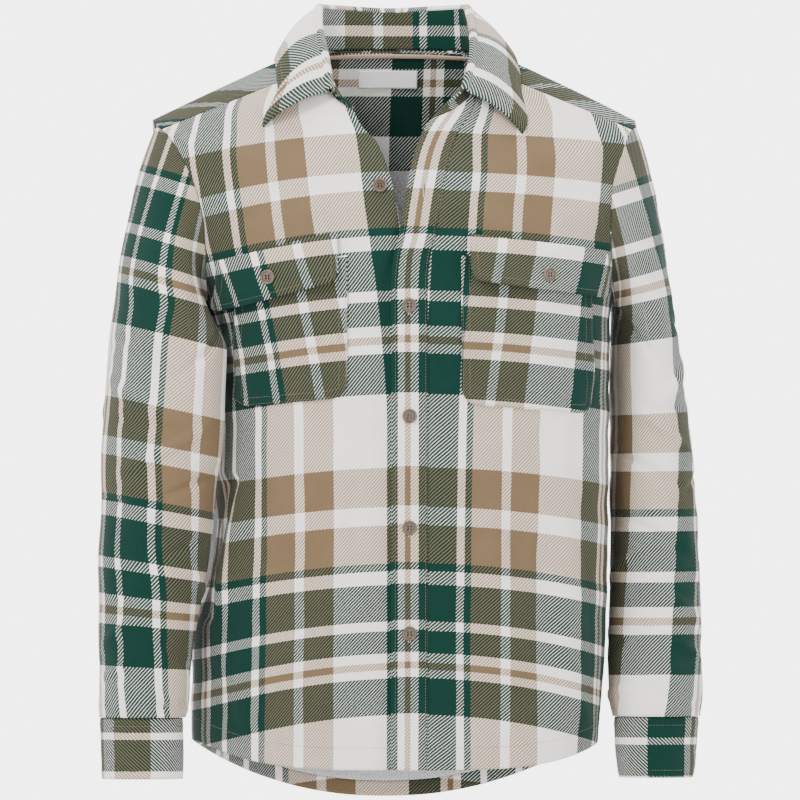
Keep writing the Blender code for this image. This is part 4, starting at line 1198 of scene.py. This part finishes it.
def buttonsOn():
    for number, z in enumerate(buttons["band"], start=2):
        angle, level = onTrunk(0.0, z)
        point, normal = trunkCloth(angle, level, fronts["bandLift"] + cloth["gap"])
        buttonPiece(f"resin_front_button_{number}", point, normal)
    angle, level = onTrunk(*buttons["neck"])
    point, normal = trunkCloth(angle, level, 2 * cloth["gap"] - underlap(angle, level))
    buttonPiece("resin_front_button_1", point, normal)
    for side in ("right", "left"):
        angle, level = onTrunk(*buttons[side])
        spec = patches[side + "_pocket_flap"]
        inner, outer, top, bottom = spec["box"]
        across = (buttons[side][0] - inner) / (outer - inner)
        height = (buttons[side][1] - bottom + spec["drop"] * across) / (top - bottom)
        out = spec["under"] + cloth["flap"] + cloth["gap"] + patchRaised(spec, across, height)
        point, normal = trunkCloth(angle, level, out)
        buttonPiece(f"resin_{side}_flap_button", point, normal)


buttonsOn()
print("buttons made")


# Sewing: rows of short stitches laid along the seams, one mesh for each place
sewing = {
    "pitch": 0.0030, "length": 0.0021, "radius": 0.00026, "proud": 0.0001,
    # how far each row lies from its edge
    "band": (0.0038, 0.0022), "hem": 0.0215, "pocket": (0.0016, 0.0080), "flap": (0.0060,),
    "cuff": (0.0075, 0.0515), "leafColumns": 3, "leafRows": (4, 27),
    # worked holes
    "holeHalf": 0.0085, "neckHole": (0.0168, -0.1138), "neckHoleHalf": 0.0070, "holePitch": 0.0007,
    "barAside": 0.0009, "barLength": 0.0014, "barRadius": 0.00036, "slitShadowWidth": 0.0005,
# the last entry is the half width of the painted shadow along each slit
}


def stitchRow(points, normals):
    # stitches at an even pitch along a row of points
    places = []
    steps = np.linalg.norm(np.diff(points, axis=0), axis=-1)
    run = np.concatenate([[0.0], np.cumsum(steps)])
    count = int(run[-1] / sewing["pitch"])
    for index in range(count):
        at = (index + 0.5) * run[-1] / count
        here = [np.interp(at, run, points[:, k]) for k in range(3)]
        ahead = [np.interp(at + 0.001, run, points[:, k]) - np.interp(at - 0.001, run, points[:, k])
                 for k in range(3)]
        up = [np.interp(at, run, normals[:, k]) for k in range(3)]
        places.append(stitch(here, ahead, up, sewing["length"], sewing["radius"]))
    return places


def sew(name, rows, finish):
    sewnPiece(name, [place for points, normals in rows for place in stitchRow(points, normals)], finish)


def bandRows():
    levels = trunkLevels(trunk["neck"] - 0.002)
    rows = []
    inner, outer = sewing["band"]
    for aside in (inner, fronts["bandWidth"] - outer):
        angle = edgeAngle(bandReach, levels, aside)[:, None]
        angle, level = withHem(angle, levels)
        points, normals = trunkCloth(angle[:, 0], level[:, 0], fronts["bandLift"] + sewing["proud"])
        rows.append((points[2:], normals[2:]))
    return rows


def patchRows(name, insets):
    spec = patches[name]
    inner, outer, top, bottom = spec["box"]
    width, tall = abs(outer - inner), top - bottom
    rows = []
    for inset in insets:
        a, h = inset / width, inset / tall
        down, over = np.linspace(0.99, h, 40), np.linspace(a, 1 - a, 50)
        across = np.concatenate([np.full(40, a), over, np.full(40, 1 - a)])
        height = np.concatenate([down, np.full(50, h), down[::-1]])
        rows.append(patchPlace(name, across, height))
    return rows


def hemRowsAt(side, rise):
    if side == 0:
        angle = np.linspace(pi / 2 + 0.03, 3 * pi / 2 - 0.03, 260)
    else:
        reach = bandReach if side > 0 else rightReach
        aside = fronts["bandWidth"] + 0.002 if side > 0 else -0.034
        inner = float(edgeAngle(reach, np.array(-0.66), aside))
        angle = np.linspace(inner, side * (pi / 2 - 0.03), 130)
    return trunkCloth(angle, hemLevel(angle) + rise, sewing["proud"])


sew("sewn_band", bandRows(), "thread")
sew("sewn_hem", [hemRowsAt(side, sewing["hem"]) for side in (-1, 1, 0)], "thread")
for patchName in patches:
    sew("sewn_" + patchName, patchRows(patchName, sewing[patchName.split("_")[-1]]), "thread")


def cuffRows(side, label):
    rows = []
    rings, turn = table(sleeves[label + "Cuff"]), np.linspace(0, 2 * pi, 160)
    for rise in sewing["cuff"]:
        height = np.full(160, sleeves["cuffBottom"] + rise)
        points = ringPoint(rings, height, turn, side)
        centre = np.stack([rings(height)[0], rings(height)[1], height], axis=-1)
        normal = unit(points - centre)
        rows.append((points + normal * sewing["proud"], normal))
    return rows


for sideSign, sideName in sides:
    sew(f"sewn_{sideName}_cuff", cuffRows(sideSign, sideName), "thread")


def leafRows():
    # along the collar's free edge and up its two ends
    (inset, top), end = sewing["leafRows"], sewing["leafColumns"]
    normal = unit(np.cross(np.gradient(leafPoints, axis=1), np.gradient(leafPoints, axis=0)))
    raised = leafPoints + normal * sewing["proud"]
    picks = ((inset, slice(end, -end)), (slice(inset, top), end), (slice(inset, top), -end - 1))
    return [(raised[pick], normal[pick]) for pick in picks]


sew("sewn_collar", leafRows(), "thread")


def buttonholes():
    # short stitches across a slit, down the band and at its top, and a near-black painted shadow along each slit
    bars, slitShadows = [], []
    places = [(0.0, z, fronts["bandLift"], sewing["holeHalf"]) for z in buttons["band"]]
    places.append((*sewing["neckHole"], fronts["bandLift"] + 0.0002, sewing["neckHoleHalf"]))
    for x, middle, out, half in places:
        count = int(2 * half / sewing["holePitch"])
        for index in range(count + 1):
            z = middle - half + 2 * half * index / count
            angle, level = onTrunk(x, z)
            point, normal = trunkCloth(angle, level, out + sewing["proud"])
            for side in (-1, 1):
                bars.append(stitch(point + np.array([side * sewing["barAside"], 0, 0]), (1, 0.0, 0.1 * side),
                                   normal, sewing["barLength"], sewing["barRadius"]))
        # a thin near-black mark along each slit: painted shadow of the gap in the cloth
        angle, level = onTrunk(x, middle)
        point, normal = trunkCloth(angle, level, out + 0.00005)
        slitShadows.append(stitch(point, (0, 0, 1), normal, 2 * half, sewing["slitShadowWidth"]))
    sewnPiece("sewn_buttonholes", bars, "threadPale")
    sewnPiece("sewn_buttonhole_slit_shadows", slitShadows, "hole")


buttonholes()
print("sewing made")


# Floor, light and camera
studio = {"floor": -1.15, "floorSize": 7.0, "distance": 20.0, "seen": 0.784, "centre": (0.003, 0.0, -0.3185),
          "turn": radians(-5)}


def floorPiece():
    mesh = bmesh.new()
    bmesh.ops.create_grid(mesh, x_segments=8, y_segments=8, size=studio["floorSize"],
                          matrix=Matrix.Translation((0, 0, studio["floor"])))
    data = meshData("floor", mesh)
    data.materials.append(plainMaterial("pale floor", "floor", 0.9))
    made = linked("floor", data)


floorPiece()
lights = [  # name, place, size, watts
    ("key", (-2.4, -3.2, 3.0), 1.4, 270.0),
    ("fill", (3.2, -3.0, 0.6), 2.4, 50.0),
    ("top", (0.3, 0.2, 3.2), 2.0, 130.0),
    ("behind", (0.5, 3.6, 1.6), 2.4, 90.0),
]
for name, place, size, power in lights:
    lamp = bpy.data.lights.new(name, "AREA")
    lamp.size = size
    lamp.energy = power
    made = linked(name, lamp)
    made.location = place
    made.rotation_euler = (Vector(studio["centre"]) - Vector(place)).to_track_quat("-Z", "Y").to_euler()

world = bpy.data.worlds.new("studio")
world.use_nodes = True
sky, links = world.node_tree.nodes, world.node_tree.links
sky["Background"].inputs["Color"].default_value = (1.0, 1.0, 1.0, 1.0)
# a white backdrop all round at eye level, with a dimmer room above and below it
direction = sky.new("ShaderNodeTexCoord")
split = sky.new("ShaderNodeSeparateXYZ")
height = sky.new("ShaderNodeMath")
height.operation = "ABSOLUTE"
fade = sky.new("ShaderNodeMapRange")
for socket, number in (("From Min", 0.10), ("From Max", 0.30), ("To Min", 5.0), ("To Max", 0.42)):
    fade.inputs[socket].default_value = number
links.new(direction.outputs["Generated"], split.inputs[0])
links.new(split.outputs["Z"], height.inputs[0])
links.new(height.outputs[0], fade.inputs["Value"])
links.new(fade.outputs["Result"], sky["Background"].inputs["Strength"])
bpy.context.scene.world = world

lens = bpy.data.cameras.new("camera")
lens.sensor_width = 36.0
lens.lens = 36.0 * studio["distance"] / studio["seen"]
camera = linked("camera", lens)
aim = Vector((sin(-studio["turn"]), cos(studio["turn"]), 0))
camera.location = Vector(studio["centre"]) - aim * studio["distance"]
camera.rotation_euler = (pi / 2, 0, studio["turn"])
bpy.context.scene.camera = camera
print("floor, light and camera made")
